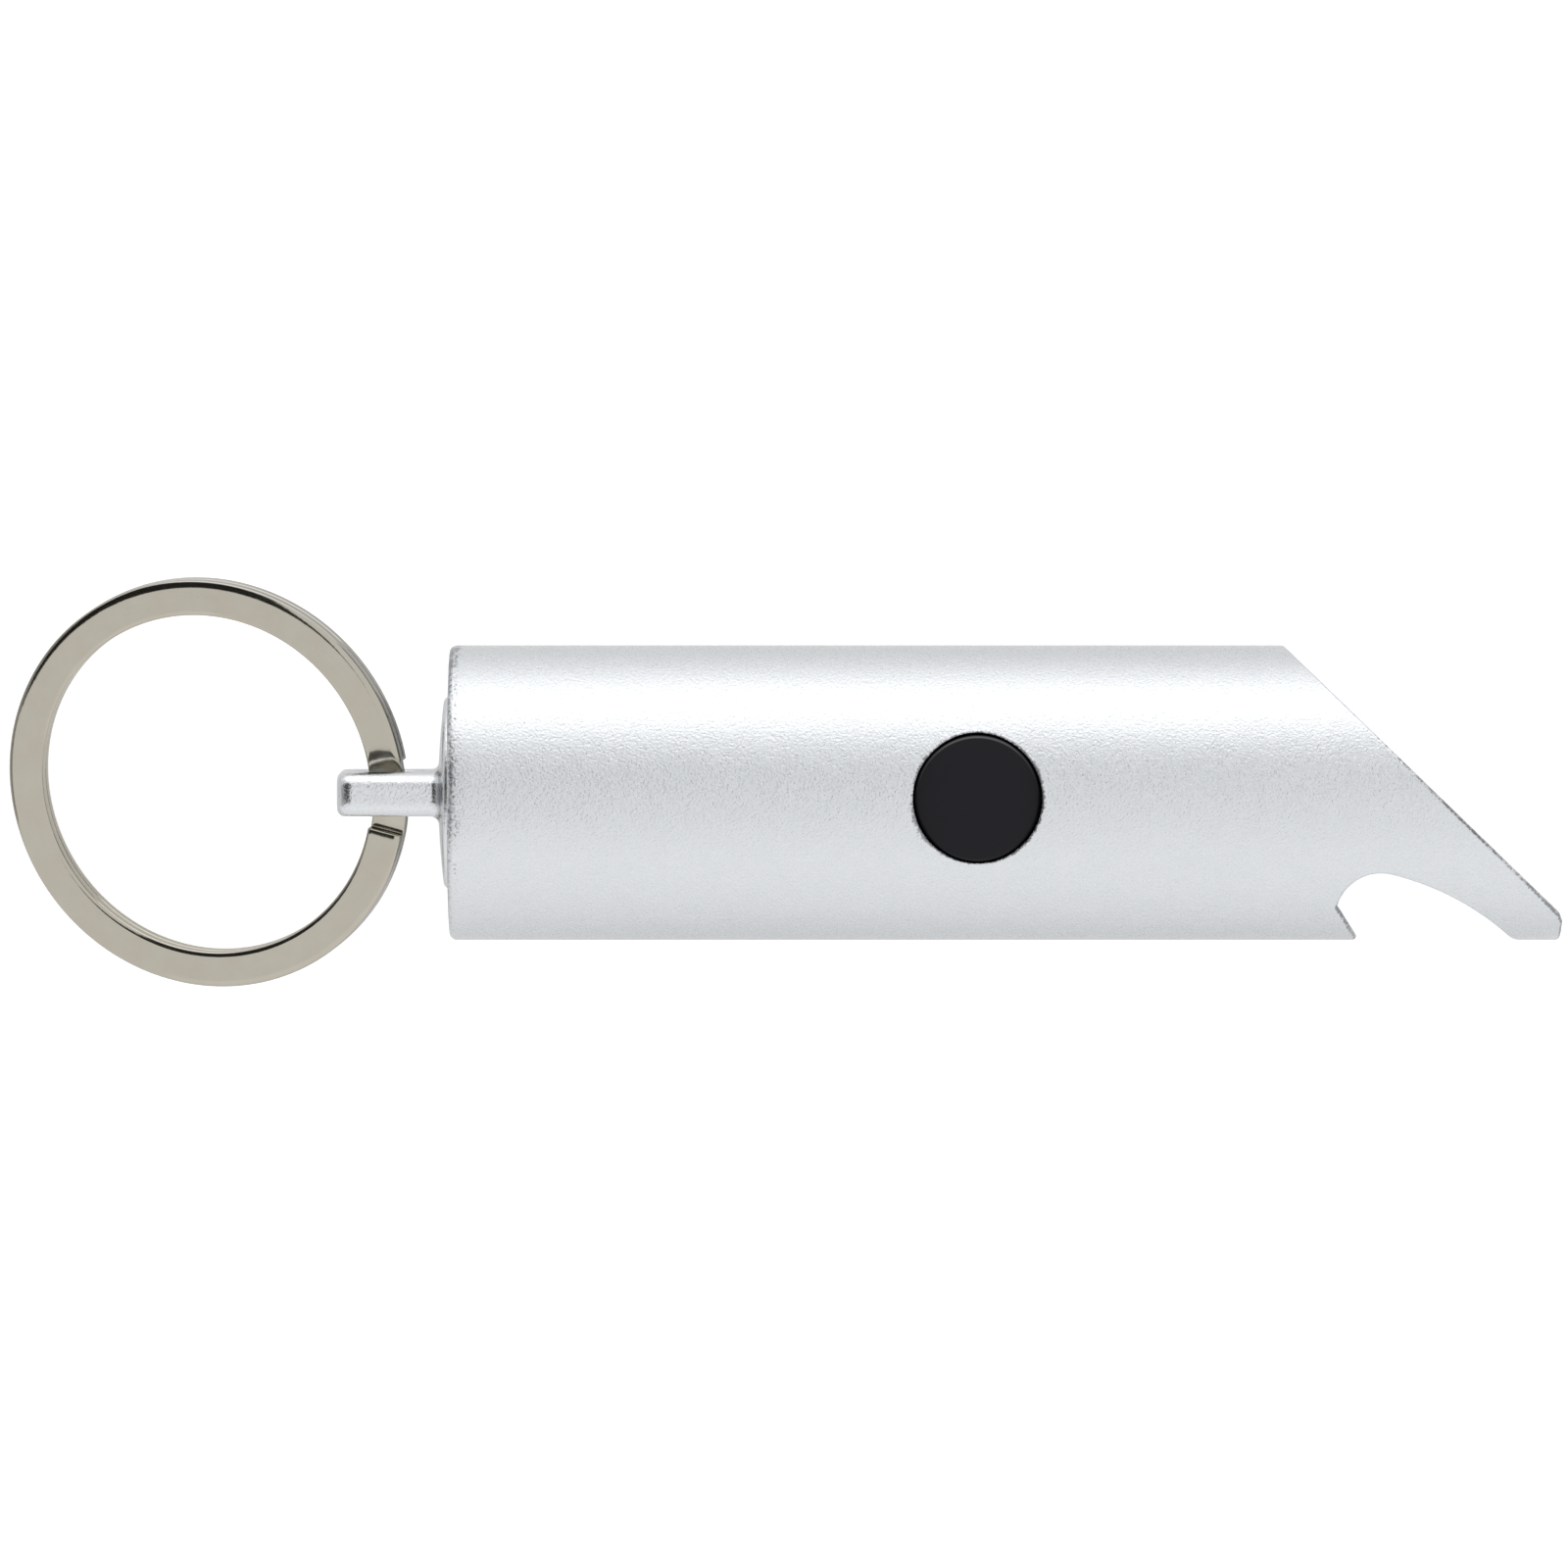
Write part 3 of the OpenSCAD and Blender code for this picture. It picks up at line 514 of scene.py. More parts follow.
def polished_nickel():
    """Spring steel wire, rolled and nickel-plated: a warm grey mirror with faint drawing lines
    that run round the ring."""
    material, tree, shader, place = new_material("nickel_plated_spring_steel")
    in_ring = add(
        tree,
        "ShaderNodeMapping",
        {
            "Vector": place,
            "Location": RING_PLACE.translation * MM,
            "Rotation": RING_PLACE.to_euler(),
        },
        vector_type="TEXTURE",
    )
    flat = add(
        tree,
        "ShaderNodeVectorMath",
        {0: in_ring.outputs["Vector"], 1: (1.0, 1.0, 0.0)},
        operation="MULTIPLY",
    )
    radius = add(tree, "ShaderNodeVectorMath", {0: flat.outputs["Vector"]}, operation="LENGTH")
    # Drawing lines are about 0.02 mm apart; drawn at 0.08 mm so that they show
    lines = add(
        tree,
        "ShaderNodeTexNoise",
        {"W": radius.outputs["Value"], "Scale": per_mm(0.08), "Detail": 2.0},
        noise_dimensions="1D",
    )
    cloud = add(
        tree,
        "ShaderNodeTexNoise",
        {"Vector": place, "Scale": per_mm(1.6), "Detail": 3.0},
    )
    plated = add(
        tree,
        "ShaderNodeMix",
        {"Factor": cloud.outputs["Fac"], "A": linear("#b2ac9e"), "B": linear("#bab6ab")},
        data_type="RGBA",
    )
    rubbed_and_painted_light = add(tree, "ShaderNodeAttribute", attribute_name=DULL)
    tone = add(
        tree,
        "ShaderNodeMix",
        {"Factor": rubbed_and_painted_light.outputs["Fac"], "A": plated.outputs["Result"], "B": linear("#a3a19c")},
        data_type="RGBA",
    )
    gloss = add(
        tree,
        "ShaderNodeMapRange",
        {
            "Value": lines.outputs["Fac"],
            "From Min": 0.3,
            "From Max": 0.7,
            "To Min": 0.08,
            "To Max": 0.14,
        },
    )
    ripple = add(
        tree,
        "ShaderNodeBump",
        {"Height": cloud.outputs["Fac"], "Strength": 1.0, "Distance": 0.01 * MM},
    )
    relief = add(
        tree,
        "ShaderNodeBump",
        {
            "Height": lines.outputs["Fac"],
            "Strength": 0.15,
            "Distance": 0.004 * MM,
            "Normal": ripple.outputs["Normal"],
        },
    )
    shader.inputs["Metallic"].default_value = 1.0
    tree.links.new(tone.outputs["Result"], shader.inputs["Base Color"])
    tree.links.new(gloss.outputs["Result"], shader.inputs["Roughness"])
    tree.links.new(relief.outputs["Normal"], shader.inputs["Normal"])
    return material


# Where the ring's own circle lies: its middle, and its tilt, lean and turn at rest
lug_axis = next(j for j in frame["joints"] if j["name"] == "ring_swing")["pos_m"]
RING_PLACE = (
    Matrix.Translation((lug_axis[0] / MM, 0, -RING_DROP))
    @ Matrix.Rotation(math.radians(-RING_TILT), 4, "Y")
    @ Matrix.Rotation(math.radians(RING_LEAN), 4, "X")
    @ Matrix.Rotation(math.radians(-RING_YAW), 4, "Z")
    @ Matrix.Translation((-RING_MEAN_R, 0, 0))
    @ Matrix.Rotation(math.radians(RING_TURN), 4, "Z")
)

ALUMINIUM = blasted_aluminium("bead_blasted_aluminium", (0.24, 0.34), 0.052)
# The cap is turned, then blasted more finely, so it shines more and mirrors dark lines sharper
CAP_ALUMINIUM = blasted_aluminium("finely_blasted_aluminium", (0.16, 0.24), 0.03)
NICKEL = polished_nickel()
# Silicone rubber, moulded in a lightly textured mould: matt black with a soft grey sheen, and a
# painted highlight, a thin grey line on its rim where it faces +Y
BUTTON_RUBBER = finish_of(
    "moulded_silicone_rubber", "#0f1015", "#16171d", 0.12, (0.46, 0.56), relief=0.003,
    rubbed_and_painted_light="#5e5e5e", sockets={"Specular IOR Level": 0.2},
)
# Nitrile rubber, moulded and wiped with grease: black with a soft shine
SEAL_RUBBER = finish_of(
    "moulded_nitrile_rubber", "#131314", "#1a1a1b", 0.2, (0.38, 0.5), relief=0.002
)
# Acrylic, moulded clear: bright edges and sharp reflections
CLEAR_ACRYLIC = finish_of(
    "moulded_clear_acrylic", "#fafcfd", "#f5f8fa", 2.0, (0.02, 0.05),
    sockets={"Transmission Weight": 1.0, "IOR": 1.49},
)
# Epoxy, cast clear: a rounded lens that enlarges the chip behind it
CLEAR_EPOXY = finish_of(
    "cast_clear_epoxy", "#f4f7f8", "#eef3f5", 2.0, (0.03, 0.06),
    sockets={"Transmission Weight": 1.0, "IOR": 1.54},
)
# Phosphor in silicone, dispensed: a matt yellow dot with fine powder grains
PHOSPHOR = finish_of(
    "dispensed_yellow_phosphor", "#e8cf4a", "#f3dd6b", 0.06, (0.7, 0.85), relief=0.004
)
# Polycarbonate, moulded white: smooth with a soft shine
HOLDER_PLASTIC = finish_of("moulded_white_polycarbonate", "#e6e7e6", "#efefee", 0.8, (0.32, 0.42))
# Nylon, moulded natural: off-white and slightly waxy
CARRIER_PLASTIC = finish_of(
    "moulded_natural_nylon", "#dfded6", "#e8e7e0", 0.5, (0.42, 0.55), relief=0.003,
    sockets={"Subsurface Weight": 0.1, "Subsurface Scale": 0.0008},
)
# Glass-fibre laminate under green solder mask: glossy green with the weave just showing
BOARD_LAMINATE = finish_of(
    "solder_masked_laminate", "#14502f", "#1c6239", 0.5, (0.22, 0.32), relief=0.003
)
# Polybutylene terephthalate, moulded black: fine matt
SWITCH_PLASTIC = finish_of(
    "moulded_black_polyester", "#17171a", "#202024", 0.1, (0.48, 0.6), relief=0.003
)
# Stainless steel sheet, rolled and stamped: grey with a soft shine
SWITCH_STEEL = finish_of("stamped_stainless_steel", "#bdbdbc", "#cccccb", 0.15, (0.26, 0.36), 1.0)
# Copper wire and strip, tin-dipped: pale grey and slightly uneven
TINNED = finish_of(
    "tin_dipped_copper", "#c6c6c2", "#d8d8d5", 0.25, (0.24, 0.36), 1.0, relief=0.004
)
# Brass sheet, stamped: yellow with a soft shine
BRASS = finish_of("stamped_brass_sheet", "#d8b45c", "#e5c576", 0.3, (0.24, 0.34), 1.0)
# Music wire, nickel-plated: pale warm grey with drawing marks
SPRING_WIRE = finish_of("nickel_plated_music_wire", "#cfc8b8", "#dcd6c8", 0.2, (0.2, 0.3), 1.0)
# Steel can, pressed and nickel-plated: silver with a soft shine
CELL_STEEL = finish_of("pressed_nickel_plated_steel", "#c9c9c6", "#d6d6d3", 0.4, (0.2, 0.3), 1.0)
# Polyester film, wound: thin, milky and slightly glossy
SLEEVE_FILM = finish_of("wound_polyester_film", "#e9e9e2", "#f1f1ec", 0.6, (0.3, 0.4))
# Alumina chip with glass coat, fired: black and glossy
RESISTOR_GLASS = finish_of("fired_glass_on_alumina", "#161618", "#1f1f22", 0.3, (0.2, 0.3))


# ---------------------------------------------------------------- barrel


def wall(centre, radius, start, end, hollow=False, edge=EDGE):
    """Points of one rounded wall of the barrel in plan, each with its outward direction. The plan
    is drawn where the edge's rounding begins: a hollow wall grows by it and a full one shrinks.
    The points lie no more than 5 degrees and 0.3 mm apart."""
    arc = abs(end - start)
    steps = max(2, math.ceil(arc / 5), math.ceil(math.radians(arc) * radius / 0.3))
    reach = -(radius + edge) if hollow else radius - edge
    turns = [start + (end - start) * k / steps for k in range(steps + 1)]
    return [(centre + polar(t, reach), polar(t)) for t in turns]


def corner(point, start, end, radius=EDGE + 0.03, hollow=False):
    """A corner between two walls. A full one is rounded a little more than its edges, so that its
    plan keeps some width."""
    before, after = polar(start), polar(end)
    inward = (before + after) * radius / (1 + before.dot(after))
    return wall(point + inward if hollow else point - inward, radius, start, end, hollow)


def barrel_plan():
    """Plan of the barrel's cut walls, counter-clockwise from the lip to the top of the slant."""
    along = polar(180 - LIP_ANGLE)
    to_face = LIP_FOOT - THROAT
    back = to_face.dot(along)
    run = -back + math.sqrt(back**2 - to_face.length_squared + THROAT_RADIUS**2)
    meeting = LIP_FOOT + along * run
    nose = LIP_FOOT + Vector((-EDGE / math.tan(math.radians(LIP_ANGLE / 2)), EDGE))
    throat_start = math.degrees(math.atan2(*(meeting - THROAT).yx)) - 180
    pry_centre = THROAT - polar(90 - PRY_ANGLE, PRY_RADIUS - THROAT_RADIUS)
    rise = PRY_CORNER - R - pry_centre.y
    run_out = math.sqrt((PRY_RADIUS + PRY_CORNER) ** 2 - rise**2)
    pry_end = math.degrees(math.atan2(rise, run_out)) - 180
    slant_normal = 90 - math.degrees(SLANT)
    bevel_top = TIP_TOP + TIP_BEVEL * math.sin(SLANT)
    bevel_end = Vector((slant_x(bevel_top), bevel_top))
    points = [(nose, polar(90 - LIP_ANGLE))]
    points += corner(meeting, 90 - LIP_ANGLE, throat_start, THROAT_CORNER, hollow=True)
    points += wall(THROAT, THROAT_RADIUS, throat_start, -90 - PRY_ANGLE, hollow=True)
    points += wall(pry_centre, PRY_RADIUS, -90 - PRY_ANGLE, pry_end, hollow=True)
    points += wall(pry_centre + Vector((run_out, rise)), PRY_CORNER, pry_end, -90)
    points.append((Vector((LENGTH - EDGE, EDGE - R)), polar(0)))
    points += corner(Vector((LENGTH, TIP_TOP - TIP_BEVEL)), 0, slant_normal / 2)
    points += corner(bevel_end, slant_normal / 2, slant_normal)
    for y in (0, R - EDGE):
        points.append((Vector((slant_x(y) - EDGE / math.sin(SLANT), y)), polar(slant_normal)))
    return points


def rim_shade_by_side(y):
    """The rear rim's painted dark reflection is stronger towards +Y, the side of the strip light.
    """
    return 0.82 + 0.22 * y / R


def slant_x(y):
    """Where the slanted face lies at a height y."""
    return LENGTH - (y - TIP_TOP) / math.tan(SLANT)


def barrel_shell():
    """The barrel's outside. Its flat plan is cut into strips along X, lifted onto the cylinder,
    and its free edges are drawn out round the edge's rounding and down to the middle plane."""
    bm = bmesh.new()
    facing = bm.verts.layers.float_vector.new("facing")
    edge_radius = bm.verts.layers.float.new("edge radius")
    wear_and_light = bm.verts.layers.float.new(WEAR_AND_LIGHT)

    def place(point, normal, edge, side):
        vert = bm.verts.new((point.x, point.y * R / (R - edge), side))
        vert[facing] = (normal.x, normal.y, 0)
        vert[edge_radius] = edge
        return vert

    bare = Vector((0, 0))
    plan = barrel_plan()
    hole = wall(Vector((BUTTON, 0)), HOLE_R, 180, -180, hollow=True, edge=HOLE_EDGE)[:-1]
    for side in (1, -1):
        rear = [place(Vector((RIM, y)), bare, 0, side) for y in (R, 0, -R)]
        cuts = [place(point, normal, EDGE, side) for point, normal in plan]
        if side < 0:
            bm.faces.new(rear + cuts)
            continue
        ring = [place(point, normal, HOLE_EDGE, side) for point, normal in hole]
        half = len(ring) // 2
        # Walls face inwards, so the ring starts on the tip's side and runs below the axis first
        bm.faces.new(rear[1:] + cuts[:-1] + ring[: half + 1])
        bm.faces.new([cuts[-2], cuts[-1], rear[0], rear[1]] + ring[half:] + [ring[0]])
    levels = {round(v.co.y, 3) for v in bm.verts}
    levels |= {round(R * math.sin(math.radians(a)), 3) for a in range(-88, 90, 2)}
    last = -R
    for level in sorted(levels):
        if level - last > STRIP and R - level > STRIP:
            cut_across(bm, (0, level, 0), (0, 1, 0))
            last = level
    cut_across(bm, (RIM + RIM_SHADE_LENGTH, 0, 0), (1, 0, 0))
    for vert in bm.verts:
        rise = R**2 - vert.co.y**2
        vert.co.z *= math.sqrt(rise) if rise > 1e-3 else 0
        # The rear rim's start gets the painted dark reflection, which fades out over the length
        # behind it
        if vert.co.x < RIM + 0.01:
            vert[wear_and_light] = RIM_PAINTED_SHADE * rim_shade_by_side(vert.co.y)

    hearts = bm.verts.layers.float_vector.new("heart")
    for vert in bm.verts:
        inner = (R - vert[edge_radius]) / R
        vert[hearts] = (vert.co.x, vert.co.y * inner, vert.co.z * inner)

    # Edges that are drawn out are those of the walls, whose two ends face much the same way
    free = [
        e for e in bm.edges if e.is_boundary and e.verts[0][facing].dot(e.verts[1][facing]) > 0.5
    ]
    rows = 5
    first_down = 0.985  # the first row down a wall is narrow, so that the rest is shaded flat
    for row in range(1, rows + 3):
        new_verts, free = drawn_out(bm, free)
        for vert in new_verts:
            if row > rows:
                vert[wear_and_light] = 0
                middle = HOLE_DEPTH if vert[edge_radius] < EDGE - 0.01 else 0
                vert.co.z = first_down * vert.co.z if row == rows + 1 else middle
                continue
            heart = Vector(vert[hearts])
            outward = Vector((0, heart.y, heart.z)).normalized()
            aim = Vector(vert[facing]).normalized()
            between = outward.angle(aim, 0)
            angle = between * row / rows
            turned_to = outward.copy()
            if angle > 1e-6:
                turned_to.rotate(Matrix.Rotation(angle, 3, outward.cross(aim)))
            vert.co = heart + turned_to * vert[edge_radius]
            # Where wall and barrel run on into each other there is no edge, so no wear and no
            # painted shade
            vert[wear_and_light] = math.sin(math.pi * row / rows) * min(1, max(0, between - 0.5))
    bottom = [e for e in free if all(abs(v.co.z - HOLE_DEPTH) < 1e-6 for v in e.verts)]
    bmesh.ops.contextual_create(bm, geom=bottom)
    return bm


def barrel_blank():
    """The closed outside of the barrel: both halves of the shell, the rounded rear rim and the
    rear face."""
    bm = barrel_shell()
    wear_and_light = bm.verts.layers.float[WEAR_AND_LIGHT]
    bmesh.ops.remove_doubles(bm, verts=bm.verts, dist=JOIN)
    rim = [e for e in bm.edges if all(abs(v.co.x - RIM) < 1e-4 for v in e.verts) and e.is_boundary]
    rows = 6
    for row in range(1, rows + 1):
        new_verts, rim = drawn_out(bm, rim)
        turn = math.pi / 2 * row / rows
        # The painted dark reflection is strongest halfway round, and where the rim starts it is as
        # strong as on the length before it
        worn_and_shaded = max(math.sin(2 * turn), RIM_PAINTED_SHADE - 0.6 * turn) if row < rows else 0
        for vert in new_verts:
            radius = R - RIM * (1 - math.cos(turn))
            across = Vector((0, vert.co.y, vert.co.z)).normalized() * radius
            vert.co = (RIM * (1 - math.sin(turn)), across.y, across.z)
            vert[wear_and_light] = worn_and_shaded * rim_shade_by_side(across.y)
    bmesh.ops.contextual_create(bm, geom=rim)
    bmesh.ops.recalc_face_normals(bm, faces=bm.faces)
    return bm


def bore_cutter():
    """What the bores take out of the barrel: mouth bevel, thread grooves, bore and window seat.
    It starts 1 mm behind the rear face, with the bevel drawn on to there."""
    outline = [(-1, 0), (-1, BORE_R + MOUTH_BEVEL + 1), (MOUTH_BEVEL, BORE_R)]
    for turn in range(GROOVES):
        middle = THREAD_START + turn * THREAD_PITCH
        outline += [
            (middle - ROOT_HALF, BORE_R),
            (middle - CREST_HALF, BORE_R + THREAD_DEPTH),
            (middle + CREST_HALF, BORE_R + THREAD_DEPTH),
            (middle + ROOT_HALF, BORE_R),
        ]
    outline += [
        (BORE_END, BORE_R),
        (BORE_END, FRONT_BORE_R),
        (WINDOW_REAR, FRONT_BORE_R),
        (WINDOW_REAR, WINDOW_BORE_R),
        (LENGTH, WINDOW_BORE_R),
        (LENGTH, 0),
    ]
    bm = bmesh.new()
    lathe(bm, outline)
    return bm


def make_barrel():
    """The barrel with its bores cut, and with the window's edge rounded in the slanted face."""
    bm = carved(barrel_blank(), bore_cutter(), "barrel")

    def off_slant(vert):
        return abs(vert.co.x - slant_x(vert.co.y))

    def on_window_edge(vert):
        reach = math.hypot(vert.co.y, vert.co.z)
        return abs(reach - WINDOW_BORE_R) < 0.01 and off_slant(vert) < 0.01

    def beside_window(vert):
        return off_slant(vert) < 0.005 and 0.01 < abs(vert.co.y) < BESIDE_WINDOW

    def splits_slant(edge):
        """One of the lines that part the slanted face beside the window, apart from the one
        above it and the one below it."""
        a, b = (vert.co for vert in edge.verts)
        along = abs(a.y - b.y) < 1e-4 and edge.calc_length() > 0.3
        across = abs(a.z) < 1e-4 and abs(b.z) < 1e-4
        return (along or across) and all(beside_window(vert) for vert in edge.verts)

    # The cut leaves some points too close together for an even rounding
    around = [v for v in bm.verts if on_window_edge(v)]
    bmesh.ops.remove_doubles(bm, verts=around, dist=0.03)
    # The strips beside it become one face, or the rounding would run out along their lines
    flat = 0.002
    strips = [e for e in bm.edges if splits_slant(e) and e.calc_face_angle(math.pi) < flat]
    bmesh.ops.dissolve_limit(bm, angle_limit=flat, verts=[], edges=strips)
    rim = [e for e in bm.edges if all(on_window_edge(v) for v in e.verts)]
    made = bmesh.ops.bevel(
        bm, geom=rim, offset=WINDOW_EDGE, segments=3, profile=0.5, affect="EDGES", material=-1
    )
    # A crease round the narrow rounding keeps the slanted face flat up to it
    rounding = set(made["faces"])
    for edge in {e for face in rounding for e in face.edges}:
        if not rounding.issuperset(edge.link_faces):
            edge.smooth = False
    # Only the outer edges carry wear and painted shade: cutting the bores spreads some of that
    # inwards
    wear_and_light = bm.verts.layers.float[WEAR_AND_LIGHT]
    for vert in bm.verts:
        if math.hypot(vert.co.y, vert.co.z) < R - 2 * EDGE - RIM:
            vert[wear_and_light] = 0
    return piece(
        bm, "barrel_shell", "barrel", ALUMINIUM, "barrel", "barrel", sharp=28, weighted=True
    )


# ---------------------------------------------------------------- end cap


def box_reach(turn, half, radius):
    """Distance from the middle of a rounded rectangle to its side in a direction."""
    side = (abs(math.cos(turn)), abs(math.sin(turn)))
    for k in (0, 1):
        if side[k] > 1e-9:
            reach = half[k] / side[k]
            if reach * side[1 - k] <= half[1 - k] - radius + 1e-9:
                return reach
    middle = (half[0] - radius, half[1] - radius)
    along = side[0] * middle[0] + side[1] * middle[1]
    return along + math.sqrt(max(0, along**2 - middle[0] ** 2 - middle[1] ** 2 + radius**2))


def dome_x(radius):
    """Where the domed boss lies at a distance from the axis."""
    return radius**2 / (2 * DOME_R) - BOSS_HEIGHT


def cap_rows():
    """Rows of the cap from the lug's free end inwards: each gives x and the distance from the
    axis in every direction."""
    rows = []

    def end_row(depth):
        # How far each side still lies inside the lug's full section at this depth
        inside = [edge - math.sqrt(edge**2 - max(0, edge - depth) ** 2) for edge in LUG_END_EDGES]
        half = (LUG_HALF[0] - inside[0], LUG_HALF[1] - inside[1])
        rows.append(lambda t: (LUG_END + depth, box_reach(t, half, LUG_ROUND - inside[0])))

    for k in range(11):
        end_row(max(LUG_END_EDGES) * (1 - math.cos(math.pi / 2 * k / 10)))

    def root(turn):
        spread = LUG_ROOT * (1 - math.cos(turn))
        half = (LUG_HALF[0] + spread, LUG_HALF[1] + spread)

        def at(t):
            reach = box_reach(t, half, LUG_ROUND + spread)
            return dome_x(reach) - LUG_ROOT * (1 - math.sin(turn)), reach

        return at

    for k in range(7):
        rows.append(root(math.pi / 2 * k / 6))
    foot = root(math.pi / 2)
    flat = BOSS_R - BOSS_EDGE

    def dome(share):
        def at(t):
            start = foot(t)[1]
            reach = start + (flat - start) * share
            return dome_x(reach), reach

        return at

    for k in range(1, 6):
        rows.append(dome(k / 5))
    outline = [
        (dome_x(flat) + BOSS_EDGE * (1 - math.cos(a)), flat + BOSS_EDGE * math.sin(a))
        for a in (math.pi / 2 * k / 5 for k in range(1, 6))
    ]
    start, end, floor = SEAL_GROOVE
    outline += [(PLUG_START, BOSS_R), (PLUG_START, PLUG_R - PLUG_BEVEL)]
    outline += [(PLUG_START + PLUG_BEVEL, PLUG_R), (start - SEAL_BEVEL, PLUG_R)]
    outline += [(start, PLUG_R - SEAL_BEVEL), (start, floor), (end, floor)]
    outline += [(end, PLUG_R - SEAL_BEVEL), (end + SEAL_BEVEL, PLUG_R)]
    root_r = PLUG_R - THREAD_DEPTH
    for turn in range(GROOVES):
        middle = THREAD_START + (turn - 0.5) * THREAD_PITCH
        if turn:
            outline += [(middle - ROOT_HALF, root_r), (middle - CREST_HALF, PLUG_R)]
        outline += [(middle + CREST_HALF, PLUG_R), (middle + ROOT_HALF, root_r)]
    outline += [(CAP_DEPTH - CAP_BEVEL, root_r), (CAP_DEPTH, root_r - CAP_BEVEL)]
    outline += [(CAP_DEPTH, RECESS_R + CAP_BEVEL), (CAP_DEPTH - CAP_BEVEL, RECESS_R)]
    outline += [(RECESS_START + CAP_BEVEL, RECESS_R), (RECESS_START, RECESS_R - CAP_BEVEL)]
    for x, radius in outline:
        rows.append(lambda t, x=x, radius=radius: (x, radius))
    return rows


def make_end_cap():
    """One skin drawn out row by row from the lug's free end, with the hole cut through it."""
    bm = bmesh.new()
    rows = cap_rows()
    bmesh.ops.create_circle(bm, cap_ends=False, segments=CAP_STEPS, radius=1)
    upright = Matrix.Rotation(math.pi / 2, 3, "Y")
    bmesh.ops.rotate(bm, verts=bm.verts, cent=(0, 0, 0), matrix=upright)

    def settle(verts, row):
        for vert in verts:
            turn = math.atan2(vert.co.z, vert.co.y)
            x, reach = row(turn)
            vert.co = (x, reach * math.cos(turn), reach * math.sin(turn))

    settle(bm.verts, rows[0])
    free = bm.edges[:]
    bmesh.ops.contextual_create(bm, geom=free)
    for row in rows[1:]:
        new_verts, free = drawn_out(bm, free)
        settle(new_verts, row)
    bmesh.ops.contextual_create(bm, geom=free)
    bmesh.ops.recalc_face_normals(bm, faces=bm.faces)

    # The drill flares out to the lug's two sides and runs on beyond them
    drill = bmesh.new()
    side, beyond = LUG_HALF[0], LUG_HALF[0] + 0.5
    flare = [math.pi / 2 * k / 5 for k in range(6)]
    outline = [(-beyond, 0), (-beyond, LUG_HOLE_R + LUG_HOLE_EDGE)]
    outline += [
        (-side + LUG_HOLE_EDGE * (1 - math.cos(a)), LUG_HOLE_R + LUG_HOLE_EDGE * (1 - math.sin(a)))
        for a in flare
    ]
    outline += [(-d, r) for d, r in reversed(outline)]
    lathe(drill, outline, steps=128)
    turn = Matrix.Translation((LUG_HOLE_X, 0, 0)) @ Matrix.Rotation(math.pi / 2, 4, "Z")
    bmesh.ops.transform(drill, matrix=turn, verts=drill.verts)
    bm = carved(bm, drill, "end_cap")
    return piece(
        bm, "end_cap_with_lug", "end_cap", CAP_ALUMINIUM, "end_cap", "end_cap", weighted=True
    )


# ---------------------------------------------------------------- split ring


def wire_outline(outer_low, outer_high, inner_high, inner_low):
    """Cross-section of the flat wire, counter-clockwise from its outer lower edge, with each
    edge's rounding given as (across, down)."""
    wide, thick = RING_WIDTH / 2, RING_THICKNESS / 2
    edges = [(1, -1, outer_low), (1, 1, outer_high), (-1, 1, inner_high), (-1, -1, inner_low)]
    points = []
    for quarter, (out, up, (across, down)) in enumerate(edges):
        middle = Vector((out * (wide - across), up * (thick - down), 0))
        for k in range(10):
            turn = math.pi / 2 * (quarter - 1 + k / 9)
            points.append(middle + Vector((across * math.cos(turn), down * math.sin(turn), 0)))
    return points


